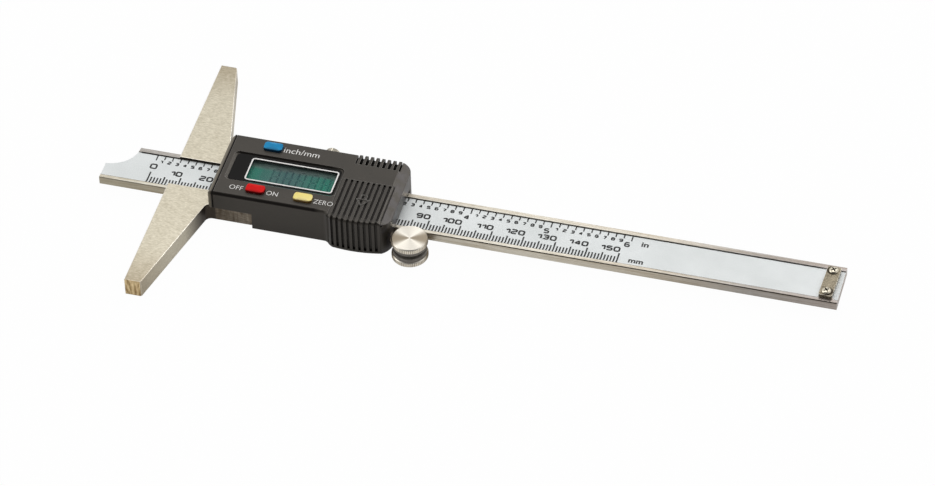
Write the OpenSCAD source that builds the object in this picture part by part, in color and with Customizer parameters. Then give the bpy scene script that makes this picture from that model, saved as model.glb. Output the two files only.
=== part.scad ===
// Digital depth gauge: a ruled steel beam slides through a base and a slider that carries the display.
// Frame: X = 0 is the measuring face of the base, +X runs to the tail of the beam.
// Y = 0 is the centreline of the beam, Z = 0 is the middle of the base's thickness. Millimetres.

/* [Beam] */
// Length of the beam
beam_len = 233.5; // [225:0.5:260]
// Width of the beam
beam_w = 16; // [15.5:0.1:16.5]
// Thickness of the beam
beam_t = 3; // [2.8:0.1:3.2]
// Depth shown at rest: how far the tip stands out of the measuring face
reading = 22; // [0:1:100]
// Width of the shallow groove that holds the scale
groove_w = 12.1; // [11:0.1:12.6]
// Depth of that groove
groove_depth = 0.75; // [0.6:0.05:1]
// Radius of the hollow that narrows the measuring tip
tip_arc_r = 9.2; // [7:0.1:10]
// How far the centre of that hollow stands in front of the tip
tip_arc_lead = 0.5; // [0:0.1:1]
// Chamfer along the edges of the beam
beam_chamfer = 0.25; // [0.1:0.05:0.4]

/* [Scale] */
// Thickness of the copper-clad strip that the sensor reads
strip_t = 0.37; // [0.3:0.01:0.4]
// Thickness of the ruled label
label_t = 0.12; // [0.08:0.01:0.15]

/* [Stop plate] */
// Width of the stop plate along the beam
plate_w = 4.2; // [3.5:0.05:4.6]
// Length of the stop plate across the beam
plate_len = 12.7; // [12.5:0.1:14]
// Thickness of the stop plate
plate_t = 1.2; // [0.8:0.1:1.6]
// Distance from the stop plate to the tail of the beam
plate_inset = 1.6; // [1.4:0.1:6]
// How far the plate sits turned on the beam, in degrees
plate_turn = -2.5; // [-3:0.5:3]
// Distance between its two screws
stop_screw_pitch = 9.1; // [7:0.1:9.4]
// Radius of a screw head on the stop plate
stop_head_r = 1.45; // [1.3:0.05:1.7]

/* [Base] */
// Span of the measuring face
base_span = 100; // [80:1:110]
// Thickness of the base
base_t = 6; // [6:0.1:6.4]
// Width of an arm at its tip
arm_tip_w = 5.1; // [4:0.1:7]
// Width of an arm where it meets the slider
arm_root_w = 14.4; // [12:0.1:14.6]
// Size of the small chamfer at the back corner of each tip
tip_break = 0.45; // [0.3:0.05:1]
// Length of the base's middle block, which the beam runs through
base_len = 17; // [16.8:0.1:18]
// Radius of the hollow corner between an arm and the slider
root_fillet_r = 2; // [1:0.1:2]
// How far each lip reaches over the beam
lip_reach = 1.9; // [0.6:0.05:1.9]
// Length of the lap that the slider's tongue fills under the base
lap_len = 11; // [8:0.5:13]
// Thickness of that tongue
lap_t = 1.15; // [1:0.05:1.3]

/* [Slider] */
// Half the width of the slider
slider_half_w = 12.1; // [12:0.05:12.2]
// Thickness of the floor under the beam
floor_t = 2.35; // [2.2:0.05:2.5]
// Running gap between the beam and what guides it
run_gap = 0.05; // [0.03:0.01:0.1]
// Thickness of the brass gib strip
gib_t = 1; // [0.8:0.1:1.2]
// Radius of the knurled head of the lock screw
lock_head_r = 2.5; // [2:0.1:3]
// Length of that head
lock_head_len = 7.4; // [5:0.1:9]
// Where the lock screw stands along the slider
lock_x = 45.4; // [36:0.1:50]

/* [Housing] */
// Where the housing starts
housing_x0 = 15.4; // [15.2:0.1:16]
// Where the housing ends
housing_x1 = 73.5; // [73:0.1:73.8]
// Half the width of the housing
housing_half_w = 13.5; // [13.4:0.1:14]
// Top of the housing
housing_top = 9.6; // [9.6:0.1:10.4]
// Thickness of the housing's walls
wall_t = 1.3; // [1.2:0.05:1.35]
// Thickness of its roof
roof_t = 1.8; // [1.7:0.1:1.9]
// Radius of its upper edges
top_edge_r = 1; // [0.6:0.1:1.2]
// Radius of its far upper edge
far_edge_r = 0.4; // [0.2:0.1:0.8]
// Radius of its near front corner, seen from above
front_corner_r = 0.5; // [0.3:0.1:1.5]
// Width of the frame that a fine groove sets off round its front end
front_frame_w = 1.35; // [1.3:0.05:1.6]
// Where the near wall steps down to cover the slider
skirt_x = 29.2; // [27:0.1:32]
// Width of the sloped band at the tail end
slope_w = 3.5; // [3:0.1:4]
// Drop of that band
slope_drop = 1.4; // [1:0.1:1.6]
// Radius of the bulge that carries the battery cover's front
bulge_r = 42; // [38:1:46]
// Furthest reach of the bulge from the centreline
bulge_reach = 15.95; // [15.9:0.05:16.2]
// Radius of the bulge's shoulder towards the display
shoulder_r = 5; // [4.5:0.1:5.2]
// Radius of the hollow that leads the near wall into that shoulder
hollow_r = 2; // [1:0.1:2.5]
// Radius of the bulge's corner at the tail end
tail_corner_r = 6; // [4:0.1:6]
// Height of the smooth rim under the battery cover's front
rim_h = 0.8; // [0.6:0.1:1.2]

/* [Display] */
// Lower and upper end of the display recess
recess_x = [19.2, 53.4];
// Half the width of the display recess
recess_half_w = 6; // [5.8:0.1:6.2]
// Depth of the display recess
recess_depth = 0.5; // [0.4:0.05:0.6]
// Radius of the display window's corners
window_corner_r = 1.3; // [0.8:0.1:1.6]

/* [Buttons] */
// Length of a button
button_len = 5.9; // [5.4:0.1:6.2]
// Width of a button
button_w = 3.4; // [3:0.1:3.6]
// How far a button stands out of the housing
button_rise = 1.1; // [0.6:0.1:1.2]
// Radius of its corners
button_corner_r = 1.1; // [0.6:0.1:1.5]
// Place of the unit button
unit_at = [29.6, 10.2];
// Place of the power button
power_at = [29.6, -9.3];
// Place of the zero button
zero_at = [44.9, -9.5];

/* [Battery cover] */
// Lower and upper end of the battery cover
cover_x = [54.1, 70.9];
// Far end of the battery cover
cover_far_y = 2.3; // [1:0.1:2.6]
// Number of finger grooves in the battery cover
groove_count = 9; // [5:1:9]
// Distance between the grooves
groove_pitch = 1.74; // [1.6:0.02:1.8]
// Width of a groove
groove_cut_w = 0.82; // [0.4:0.02:0.9]
// Depth of a groove on the top
groove_top_d = 0.4; // [0.2:0.05:0.6]
// Depth of a groove on the front
groove_front_d = 0.7; // [0.4:0.05:0.75]

/* [Grip ribs] */
// Number of grip ribs on the far edge
rib_count = 8; // [5:1:8]
// Where the first rib stands
rib_x0 = 57; // [56.8:0.1:57.5]
// Width of a rib
rib_w = 0.85; // [0.7:0.05:1.1]
// How far a rib stands out of the far wall
rib_reach = 0.85; // [0.5:0.05:1]

/* [Thumb wheel] */
// Where the wheel stands along the beam
wheel_x = 79.7; // [79.6:0.1:82]
// Radius of the two metal discs
disc_r = 5.7; // [5.5:0.05:5.8]
// Thickness of a disc
disc_t = 1.8; // [1.6:0.05:1.8]
// Radius of the rubber rings that roll on the beam's edge
ring_r = 5.25; // [5:0.05:5.3]
// Thickness of the tongue that carries the wheel
tongue_t = 1.2; // [1:0.05:1.3]
// Radius of the axle
axle_r = 1; // [0.8:0.05:1.2]
// Number of teeth in the knurling of a disc
knurl_count = 60; // [40:1:72]

/* [Hidden] */
$fn = 64;
cut = 1;                                  // how far a cut runs past the face that it opens
hair = 0.02;                              // radial play of a screwed or fixed piece
bottom_z = -base_t / 2;
base_top = base_t / 2;
floor_top = bottom_z + floor_t;
beam_z0 = floor_top + run_gap;
beam_top = beam_z0 + beam_t;
beam_mid = beam_z0 + beam_t / 2;
half_w = beam_w / 2;
tip_x = -reading;
tail_x = tip_x + beam_len;
groove_z = beam_top - groove_depth;
label_z = groove_z + strip_t;
label_top = label_z + label_t;
plate_at = [tail_x - plate_inset - plate_w / 2, -0.2];    // its middle
lap_x0 = base_len - lap_len;
base_screw_at = [base_len - 5.5, 9.7];    // X, and Y on both sides
slot_y = half_w + run_gap;                // side of the base's slot
far_wall_y = slot_y + gib_t + run_gap;    // inner side of the slider's far wall
slider_end = housing_x1 - wall_t - 0.1;
deck_z = beam_top + 0.5;                  // top of the slider's walls, which carry the circuit board
board_x = [21, 54];
board_half_w = 11.8;
board_t = 1.2;
board_top = deck_z + board_t;
gib_screw_x = [25, 64];
gib_screw_r = 1.2;
lock_r = 1.5;
lock_bore_r = 1.55;
lock_head_y = 14;
lock_reach = lock_head_y + lock_head_len;
ceiling_z = housing_top - roof_t;
sill_z = base_top + 0.1;                  // lower edge of the housing where it stays above the slider
skirt_z = bottom_z + 0.1;                 // lower edge of its skirts
far_skirt_x = 52;
slope_z = housing_top - slope_drop;
bulge_at = [61.5, bulge_r - bulge_reach]; // centre of the bulge's curve
bulge_low = [52.6, -bulge_reach - 0.05];  // where the bulge's first corner would be if it were square
shoulder_at = [bulge_low[0] + shoulder_r, bulge_low[1] + shoulder_r];
tail_corner_at = [housing_x1 - tail_corner_r, bulge_low[1] + tail_corner_r];
hollow_run = sqrt(pow(shoulder_r + hollow_r, 2) - pow(shoulder_at[1] + housing_half_w + hollow_r, 2));
hollow_at = [shoulder_at[0] - hollow_run, -housing_half_w - hollow_r];
rim_z = skirt_z + rim_h;                  // top of the smooth rim under the cover's front
recess_z = housing_top - recess_depth;
pane_x = [recess_x[0] + 0.2, recess_x[1] - 0.2];
far_cut = [1.2, 2.4];                     // what is cut off the far front corner, along X and Y
pane_half_w = recess_half_w - 0.1;
pane_t = 0.8;
pane_z = recess_z + 0.05 - pane_t;
lcd_x = [23.6, 53.1];
lcd_half_w = 6.2;
lcd_z = [board_top + 1.8, ceiling_z - 0.2];
dome_h = 0.5;
button_top = housing_top + button_rise;
button_bottom = board_top + dome_h + 0.45;
button_play = 0.12;
cover_z = housing_top - 1.2;              // underside of the battery cover's top plate
cover_gap = 0.05;
cover_front_y = -housing_half_w - 0.1;    // inner face of its front wall
cell_at = [63.2, -5.6];
cell_r = 5.8;
cell_h = 5.4;
cell_z = cover_z - 0.1 - cell_h;
rib_pitch = 1.8;
rib_root_y = 9.4;                         // where the gaps between the ribs start on the roof
rib_h = 1.4;
wheel_y = -(half_w + ring_r + run_gap);
tongue_z = beam_mid - tongue_t / 2 - 0.05;
ring_low_z = beam_z0 - 0.5;
ring_high_z = beam_top + 0.2;
eye_r = 3;
housing_screw_x = [18.9, 69.8];
housing_screw_y = 10.1;

// A box between two corners
module box(low, high) translate(low) cube(high - low);

// A flat outline in Y and Z, drawn out along X
module along_x(x0, x1) translate([x0, 0, 0]) rotate([90, 0, 90]) linear_extrude(x1 - x0) children();

// A flat outline in X and Z, drawn out along Y
module along_y(y0, y1) translate([0, y1, 0]) rotate([90, 0, 0]) linear_extrude(y1 - y0) children();

// A flat outline in X and Y, drawn out along Z
module along_z(z0, z1) translate([0, 0, z0]) linear_extrude(z1 - z0) children();

// A rectangle between two corners
module pane(low, high) translate(low) square(high - low);

// What rounding takes off a square corner at a point, on the side that sx and sy give
module corner_waste(at, sx, sy, r) {
    side = r + 0.2;
    translate([at[0] - sx * r, at[1] - sy * r]) difference() {
        translate([sx > 0 ? 0 : -side, sy > 0 ? 0 : -side]) square(side);
        circle(r);
    }
}

// An upright pin or hole
module post(at, z0, z1, r) translate([at[0], at[1], z0]) cylinder(r = r, h = z1 - z0);

// A pin or hole that runs along Y
module cross_pin(x, z, y0, y1, r) translate([x, y0, z]) rotate([-90, 0, 0]) cylinder(r = r, h = y1 - y0);

// ---- Beam and what is fixed to it ----

// Plan of the beam: a bar whose far corner is hollowed out to leave a narrow measuring tip
module beam_plan() {
    difference() {
        pane([tip_x, -half_w], [tail_x, half_w]);
        translate([tip_x - tip_arc_lead, half_w]) circle(tip_arc_r);
    }
}

// Cross-section of the beam in Y and Z, with its edges chamfered and the scale's groove between two rails
module beam_section() {
    c = beam_chamfer;
    g = groove_w / 2;
    polygon([[-half_w, beam_z0 + c], [-half_w + c, beam_z0], [half_w - c, beam_z0], [half_w, beam_z0 + c],
             [half_w, beam_top - c], [half_w - c, beam_top], [g, beam_top], [g, groove_z],
             [-g, groove_z], [-g, beam_top], [-half_w + c, beam_top], [-half_w, beam_top - c]]);
}

// Places a shape where each of the stop plate's two screws goes
module at_stop_screws() {
    translate(plate_at) rotate(plate_turn)
        for (side = [-1, 1]) translate([0, side * stop_screw_pitch / 2]) children();
}

// Holes for those screws
module stop_screw_holes(z0, z1, r) {
    at_stop_screws() post([0, 0], z0, z1, r);
}

module beam() color("#cfc4ae") {
    difference() {
        intersection() {
            along_x(tip_x, tail_x) beam_section();
            along_z(beam_z0, beam_top) beam_plan();
        }
        stop_screw_holes(beam_z0 + 0.6, beam_top, 0.9);
    }
}

// A layer that fills the groove between two heights
module groove_layer(z0, z1) {
    play = 0.03;
    difference() {
        intersection() {
            along_z(z0, z1) beam_plan();
            box([tip_x, -groove_w / 2 + play, z0], [tail_x, groove_w / 2 - play, z1]);
        }
        stop_screw_holes(z0 - cut, z1 + cut, 1);
    }
}

module scale_strip() color("#8a6a3a") groove_layer(groove_z, label_z);

module scale_label() color("#dde2e2") groove_layer(label_z, label_top);

// The plate that keeps the beam from running out of the slider, laid across the two rails
module stop_plate() color("#a59b84") {
    corner_r = 0.7;
    blank = [plate_w - 2 * corner_r, plate_len - 2 * corner_r];
    difference() {
        translate(plate_at) rotate(plate_turn) along_z(beam_top, beam_top + plate_t) {
            square([plate_w, blank[1]], center = true);
            square([blank[0], plate_len], center = true);
            for (sx = [-1, 1], sy = [-1, 1])
                translate([sx * blank[0] / 2, sy * blank[1] / 2]) circle(corner_r);
        }
        stop_screw_holes(beam_top - cut, beam_top + plate_t + cut, 1);
    }
}

// Two pan-head screws with a cross recess
module stop_screws() color("#c9c2b0") {
    head_z = beam_top + plate_t;
    head_h = 0.75;
    shank_r = 0.9 - hair;
    recess_half = 0.95;
    recess_w = 0.4;
    at_stop_screws() difference() {
        rotate_extrude() polygon([[0, beam_z0 + 0.7], [shank_r, beam_z0 + 0.9], [shank_r, head_z],
                                  [stop_head_r, head_z], [stop_head_r, head_z + 0.4 * head_h],
                                  [0.75 * stop_head_r, head_z + 0.85 * head_h], [0, head_z + head_h]]);
        for (turn = [40, 130]) rotate(turn)
            box([-recess_half, -recess_w / 2, head_z + 0.2],
                [recess_half, recess_w / 2, head_z + head_h + cut]);
    }
}

// ---- Base ----

// Direction of an arm's sloping edge, from its tip to its root
arm_run = [arm_root_w - arm_tip_w, base_span / 2 - slider_half_w];
arm_dir = arm_run / norm(arm_run);
fillet_x = arm_root_w + root_fillet_r * (1 - arm_dir[0]) / arm_dir[1];
fillet_y = slider_half_w + root_fillet_r;

// Plan of one half of the base, on the +Y side
module half_base_plan() {
    touch = [fillet_x - root_fillet_r * arm_dir[1], fillet_y - root_fillet_r * arm_dir[0]];
    polygon([[0, 0], [base_len, 0], [base_len, slider_half_w], [arm_root_w, slider_half_w],
             [arm_tip_w, base_span / 2], [0, base_span / 2]]);
    difference() {
        polygon([[arm_root_w - 0.5, slider_half_w - 0.1], [fillet_x, slider_half_w - 0.1],
                 [fillet_x, fillet_y], touch]);
        translate([fillet_x, fillet_y]) circle(root_fillet_r);
    }
}

// A hardened cross-piece: its front face rests on the work, and lips hold the beam down in its slot
module base() color("#cfc4ae") {
    lip_y = half_w - lip_reach;
    lap_y = slider_half_w - 0.4;
    difference() {
        along_z(bottom_z, base_top) union() {
            half_base_plan();
            mirror([0, 1]) half_base_plan();
        }
        box([-cut, -slot_y, floor_top], [base_len + cut, slot_y, beam_top + run_gap]);
        box([-cut, -lip_y, floor_top], [base_len + cut, lip_y, base_top + cut]);
        box([lap_x0, -lap_y, bottom_z - cut], [base_len + cut, lap_y, bottom_z + lap_t + 0.02]);
        for (side = [-1, 1])
            post([base_screw_at[0], side * base_screw_at[1]], bottom_z, 1.5, 0.95);
        for (side = [-1, 1]) translate([arm_tip_w, side * base_span / 2, 0]) rotate(45)
            cube([tip_break, tip_break, base_t + cut], center = true);
    }
}

// A countersunk screw that comes up from the back, at the origin of X and Y
module countersunk_screw(z_head, z_end, r, head_r) {
    rise = head_r - r;
    difference() {
        rotate_extrude() polygon([[0, z_head], [head_r, z_head], [r, z_head + rise], [r, z_end - 0.4],
                                  [r - 0.4, z_end], [0, z_end]]);
        for (turn = [0, 90]) rotate(turn)
            translate([-0.6 * head_r, -0.16, z_head - cut]) cube([1.2 * head_r, 0.32, cut + 0.35 * rise + 0.3]);
    }
}

module base_screws() color("#9a958a") {
    for (side = [-1, 1]) translate([base_screw_at[0], side * base_screw_at[1], 0])
        countersunk_screw(bottom_z + 0.1, 1.3, 0.95 - hair, 1.7);
}

// ---- Slider ----

// The tongue that stands out of the slider's near wall between the two discs and carries their axle
module wheel_tongue() {
    along_z(tongue_z, tongue_z + tongue_t) {
        polygon([[slider_end - 1, -8.6], [slider_end - 1, -slider_half_w], [housing_x1 + 0.3, -slider_half_w],
                 [wheel_x - 0.54 * eye_r, wheel_y - 0.84 * eye_r],
                 [wheel_x + 0.3 * eye_r, wheel_y + 0.95 * eye_r]]);
        translate([wheel_x, wheel_y]) circle(eye_r);
    }
}

// A steel channel: floor, near wall, far wall with room for the gib, and a tongue that laps under the base
module slider_frame() color("#c4b9a3") {
    difference() {
        union() {
            box([base_len, -slider_half_w, bottom_z], [slider_end, slider_half_w, floor_top]);
            box([base_len, -slider_half_w, bottom_z], [slider_end, -slot_y, deck_z]);
            box([base_len, far_wall_y, bottom_z], [slider_end, slider_half_w, deck_z]);
            box([lap_x0 + 0.1, -slider_half_w + 0.45, bottom_z],
                [base_len + 0.5, slider_half_w - 0.45, bottom_z + lap_t]);
            wheel_tongue();
        }
        post([wheel_x, wheel_y], tongue_z - cut, tongue_z + tongue_t + cut, axle_r + 0.04);
        cross_pin(lock_x, beam_mid, far_wall_y - cut, slider_half_w + cut, lock_bore_r);
        for (x = gib_screw_x) cross_pin(x, beam_mid, far_wall_y - cut, slider_half_w + cut, gib_screw_r);
        for (side = [-1, 1]) translate([base_screw_at[0], side * base_screw_at[1], bottom_z - hair])
            rotate_extrude()
                polygon([[0, 0], [1.85, 0], [1.85, 0.1], [1, 0.95], [1, lap_t + cut], [0, lap_t + cut]]);
        for (x = housing_screw_x, side = [-1, 1]) translate([x, side * housing_screw_y, bottom_z - hair])
            rotate_extrude()
                polygon([[0, 0], [1.5, 0], [1.5, 0.1], [0.8, 0.8], [0.8, base_t + cut], [0, base_t + cut]]);
    }
}

// A brass strip between the beam's far edge and the slider's far wall takes up the side play
module gib_strip() color("#b08d4a") {
    box([base_len + 0.2, slot_y, beam_z0], [slider_end - 0.3, slot_y + gib_t, beam_top - 0.1]);
}

// Two set screws with a slot press on the gib
module gib_screws() color("#5c5a56") {
    y0 = slot_y + gib_t + 0.01;
    y1 = slider_half_w - 0.4;
    for (x = gib_screw_x) difference() {
        cross_pin(x, beam_mid, y0, y1, gib_screw_r - hair);
        box([x - gib_screw_r, y1 - 0.6, beam_mid - 0.2], [x + gib_screw_r, y1 + cut, beam_mid + 0.2]);
    }
}

// Outline of a knurled edge: a circle of small teeth
module knurl_plan(r, count, depth) {
    polygon([for (i = [0 : 2 * count - 1])
        let (a = 180 * i / count, d = r - (i % 2) * depth) d * [cos(a), sin(a)]]);
}

// A slim screw with a knurled head on the far side locks the beam
module lock_screw() color("#cfc8b8") {
    translate([lock_x, 0, beam_mid]) rotate([-90, 0, 0]) {
        rotate_extrude() polygon([[0, far_wall_y + 0.1], [1.1, far_wall_y + 0.1], [lock_r, far_wall_y + 0.5],
                                  [lock_r, lock_head_y - 0.9], [1.1, lock_head_y - 0.7],
                                  [1.1, lock_head_y + 0.2], [0, lock_head_y + 0.2]]);
        intersection() {
            translate([0, 0, lock_head_y]) linear_extrude(lock_head_len) knurl_plan(lock_head_r, 30, 0.16);
            rotate_extrude() polygon([[0, lock_head_y], [lock_head_r - 0.5, lock_head_y],
                                      [lock_head_r + 0.01, lock_head_y + 0.5],
                                      [lock_head_r + 0.01, lock_reach - 0.5],
                                      [lock_head_r - 0.5, lock_reach], [0, lock_reach]]);
        }
    }
}

// ---- Housing ----

// Outline of the housing's main block, seen from above
module main_plan() {
    difference() {
        pane([housing_x0, -housing_half_w], [housing_x1, housing_half_w]);
        corner_waste([housing_x0, -housing_half_w], -1, -1, front_corner_r);
        translate([housing_x0, housing_half_w])
            polygon([[-far_cut[0], far_cut[1]], [-far_cut[0], -2 * far_cut[1]], [2 * far_cut[0], far_cut[1]]]);
        corner_waste([housing_x1, housing_half_w], 1, 1, 3);
        corner_waste([housing_x1, -housing_half_w], 1, -1, housing_half_w + tail_corner_at[1]);
    }
}

// Side view of the housing in X and Z, with its front edge rounded and the sloped band at the tail
module side_profile(inset = 0) {
    top = housing_top - inset;
    difference() {
        polygon([[housing_x0, bottom_z - cut], [housing_x1, bottom_z - cut], [housing_x1, slope_z - inset],
                 [housing_x1 - slope_w, top], [housing_x0, top]]);
        corner_waste([housing_x0, top], -1, 1, top_edge_r);
    }
}

// End view of the main block in Y and Z
module end_profile() {
    difference() {
        pane([-housing_half_w, bottom_z - cut], [housing_half_w, housing_top]);
        corner_waste([-housing_half_w, housing_top], -1, 1, top_edge_r);
        corner_waste([housing_half_w, housing_top], 1, 1, far_edge_r);
    }
}

// A fine groove over the top and the sides that sets the front end off as a frame
module front_groove() {
    depth = 0.22;
    half = housing_half_w - depth;
    x = housing_x0 + front_frame_w;
    along_x(x, x + 0.3) difference() {
        pane([-20, bottom_z - 1], [20, 20]);
        difference() {
            pane([-half, bottom_z - 2], [half, housing_top - depth]);
            corner_waste([-half, housing_top - depth], -1, 1, top_edge_r - depth);
        }
    }
}

// An upright body with a round plan and a rounded upper edge
module rounded_post(at, r, top) {
    translate([at[0], at[1], 0]) rotate_extrude($fn = r > 20 ? 160 : 64) difference() {
        pane([0, skirt_z], [r, top]);
        corner_waste([r, top], 1, 1, top_edge_r);
    }
}

// The hollow curve that leads the near wall out into the bulge, with its upper edge rounded to match
module bulge_hollow() {
    reach = shoulder_r / (shoulder_r + hollow_r);
    touch_y = shoulder_at[1] + (hollow_at[1] - shoulder_at[1]) * reach;
    difference() {
        box([hollow_at[0], touch_y, skirt_z],
            [shoulder_at[0], -housing_half_w + top_edge_r + 0.1, housing_top]);
        translate([hollow_at[0], hollow_at[1], 0]) rotate_extrude() {
            pane([0, skirt_z - cut], [hollow_r, housing_top + 0.1]);
            corner_waste([hollow_r, housing_top], -1, 1, top_edge_r);
        }
    }
}

// The bulge on the near side: a wide curve between a rounded shoulder and a rounded tail corner
module bulge_solid() {
    intersection() {
        rounded_post(bulge_at, bulge_r, housing_top);
        along_y(-bulge_reach - cut, 0) side_profile();
        union() {
            rounded_post(shoulder_at, shoulder_r, housing_top);
            rounded_post(tail_corner_at, tail_corner_r, housing_top);
            box([shoulder_at[0], bulge_low[1] - cut, skirt_z], [tail_corner_at[0], 0, housing_top]);
            box([shoulder_at[0] - 1, tail_corner_at[1], skirt_z], [housing_x1, 0, housing_top]);
        }
    }
    bulge_hollow();
}

// An upright groove where the shoulder meets the battery cover
module shoulder_groove() {
    turn = 43;
    at = shoulder_at - (shoulder_r + 0.1) * [cos(turn), sin(turn)];
    post(at, rim_z, housing_top - 1.4, 0.5);
}

// The whole outer form, before the cavity and the openings are cut
module housing_form() {
    intersection() {
        along_z(skirt_z, housing_top) main_plan();
        along_x(housing_x0, housing_x1) end_profile();
        along_y(-housing_half_w, housing_half_w) side_profile();
    }
    bulge_solid();
}

// Outline of a button or of its hole, grown by some play
module button_plan(at, play) {
    half = [button_len / 2 + play, button_w / 2 + play];
    r = button_corner_r + play;
    translate(at) {
        pane([-half[0] + r, -half[1]], [half[0] - r, half[1]]);
        pane([-half[0], -half[1] + r], [half[0], half[1] - r]);
        for (sx = [-1, 1], sy = [-1, 1]) translate([sx * (half[0] - r), sy * (half[1] - r)]) circle(r);
    }
}

// A rectangle between two corners, itself rounded at every corner
module rounded_pane(low, high, r) {
    difference() {
        pane(low, high);
        for (x = [[low[0], -1], [high[0], 1]], y = [[low[1], -1], [high[1], 1]])
            corner_waste([x[0], y[0]], x[1], y[1], r);
    }
}

// Outline of the display window, grown by some play
module window_plan(play) {
    half = pane_half_w + play;
    rounded_pane([pane_x[0] - play, -half], [pane_x[1] + play, half], window_corner_r);
}

// The display recess: sloped on all four sides, widest at the front, with rounded corners
module recess_cut() {
    high = housing_top + cut;
    rise = recess_depth + cut;
    brim_half_w = recess_half_w + 0.5;
    intersection() {
        along_z(recess_z - cut, high)
            rounded_pane([recess_x[0] - 0.75, -brim_half_w], [recess_x[1] + 0.6, brim_half_w], 1.9);
        along_y(-20, 20) polygon([[recess_x[0], recess_z], [recess_x[1], recess_z],
                                  [recess_x[1] + 1.1 * rise, high], [recess_x[0] - 1.4 * rise, high]]);
        along_x(0, 70) polygon([[-recess_half_w, recess_z], [recess_half_w, recess_z],
                                [recess_half_w + 0.9 * rise, high], [-recess_half_w - 0.9 * rise, high]]);
    }
}

// Outline of one grip rib, seen from above
module rib_plan(x) {
    tip = housing_half_w + rib_reach - rib_w / 2;
    pane([x - rib_w / 2, rib_root_y - 0.6], [x + rib_w / 2, tip]);
    translate([x, tip]) circle(rib_w / 2);
}

// Grip ribs that run over the far edge and down the far wall
module grip_ribs() {
    tip = housing_half_w + rib_reach;
    intersection() {
        along_z(skirt_z + 1, housing_top) for (i = [0 : rib_count - 1]) rib_plan(rib_x0 + i * rib_pitch);
        along_x(rib_x0 - 1, housing_x1) difference() {
            pane([rib_root_y - 0.6, skirt_z], [tip, housing_top]);
            corner_waste([tip, housing_top], 1, 1, 1.4);
        }
    }
}

// A moulded shell, open to the back: roof, walls, window, button holes, screw posts and the seat of the cover
module housing() color("#3a3836") {
    inner = housing_half_w - wall_t;
    rib_zone = [rib_x0 - 0.9, rib_x0 + (rib_count - 1) * rib_pitch + 0.9];
    difference() {
        union() {
            difference() {
                housing_form();
                box([housing_x0 + wall_t, -inner, bottom_z - cut], [housing_x1 - wall_t, inner, ceiling_z]);
                box([rib_zone[0], rib_root_y, housing_top - rib_h], [rib_zone[1], 20, housing_top + cut]);
            }
            grip_ribs();
            for (x = housing_screw_x, side = [-1, 1])
                post([x, side * housing_screw_y], deck_z + 0.02, ceiling_z + 0.1, 1.6);
        }
        // room for the slider and the base under the walls
        box([0, -slider_half_w - 0.05, bottom_z - cut], [housing_x1 - wall_t, slider_half_w + 0.05, deck_z]);
        box([0, -20, bottom_z - cut], [skirt_x, 20, sill_z]);
        box([0, 0, bottom_z - cut], [far_skirt_x, 20, sill_z]);
        // the ways out of the end wall, for the beam and for the tongue that carries the thumb wheel
        box([slider_end, -slot_y - 0.25, bottom_z - cut], [housing_x1 + cut, far_wall_y, beam_top + 0.4]);
        box([slider_end, -slider_half_w - 0.1, tongue_z - 0.1],
            [housing_x1 + cut, -8, tongue_z + tongue_t + 0.1]);
        // the seat of the battery cover, with a groove on each side for its tongues
        box([cover_x[0] - cover_gap, -20, cover_z - cover_gap],
            [cover_x[1] + cover_gap, cover_far_y + cover_gap, 20]);
        box([cover_x[0] - cover_gap, -20, rim_z], [cover_x[1] + cover_gap, -housing_half_w, 20]);
        shoulder_groove();
        front_groove();
        box([cover_x[0] - 0.55, -20, cover_z - cover_gap],
            [cover_x[1] + 0.55, cover_far_y + cover_gap, cover_z + 0.45]);
        post(cell_at, deck_z, housing_top, cell_r + 0.4);
        // the display
        recess_cut();
        along_z(pane_z - 0.01, 20) window_plan(0.05);
        box([recess_x[0] + 2.8, -5.2, ceiling_z - cut], [recess_x[1] - 0.9, 5.2, 20]);
        // the buttons
        for (at = [unit_at, power_at, zero_at]) along_z(ceiling_z - cut, 20) button_plan(at, button_play);
        for (x = housing_screw_x, side = [-1, 1]) post([x, side * housing_screw_y], deck_z - cut, 7, 0.8);
    }
}

module housing_screws() color("#9a958a") {
    for (x = housing_screw_x, side = [-1, 1]) translate([x, side * housing_screw_y, 0])
        countersunk_screw(bottom_z + 0.1, 6.6, 0.8 - hair, 1.4);
}

// ---- Display and electronics ----

module display_window() color("#1e1a1a") {
    along_z(pane_z, pane_z + pane_t) window_plan(0);
}

// Two panes of glass, the lower one longer on both sides to carry the contacts
module lcd_panel() color("#2f7f6b") {
    mid = (lcd_z[0] + lcd_z[1]) / 2;
    box([lcd_x[0], -lcd_half_w, lcd_z[0]], [lcd_x[1], lcd_half_w, mid]);
    box([lcd_x[0], -lcd_half_w + 0.9, mid], [lcd_x[1], lcd_half_w - 0.9, lcd_z[1]]);
}

// Two striped rubber strips carry the signals from the board up to the display
module zebra_strips() color("#c9c6c0") {
    for (side = [-1, 1])
        box([lcd_x[0] + 1.5, side * 5.5 - 0.5, board_top], [lcd_x[1] - 1.5, side * 5.5 + 0.5, lcd_z[0]]);
}

module circuit_board() color("#2c6b3c") {
    difference() {
        box([board_x[0], -board_half_w, deck_z], [board_x[1], board_half_w, board_top]);
        box([board_x[1] - 4, -3, deck_z - cut], [board_x[1] + cut, 3, board_top + cut]);
    }
}

// The drop of resin over the measuring chip
module processor_cap() color("#161616") {
    translate([48.2, 9, board_top]) rotate_extrude() intersection() {
        translate([0, -4.2]) circle(5.1);
        pane([0, 0], [3, 1]);
    }
}

// Under each button a domed switch stands on the board
module switch_domes() color("#b9b4a8") {
    for (at = [unit_at, power_at, zero_at]) translate([at[0], at[1], board_top]) rotate_extrude()
        polygon([[0, 0], [1.6, 0], [1.6, 0.2], [1.1, dome_h - 0.05], [0, dome_h]]);
}

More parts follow.
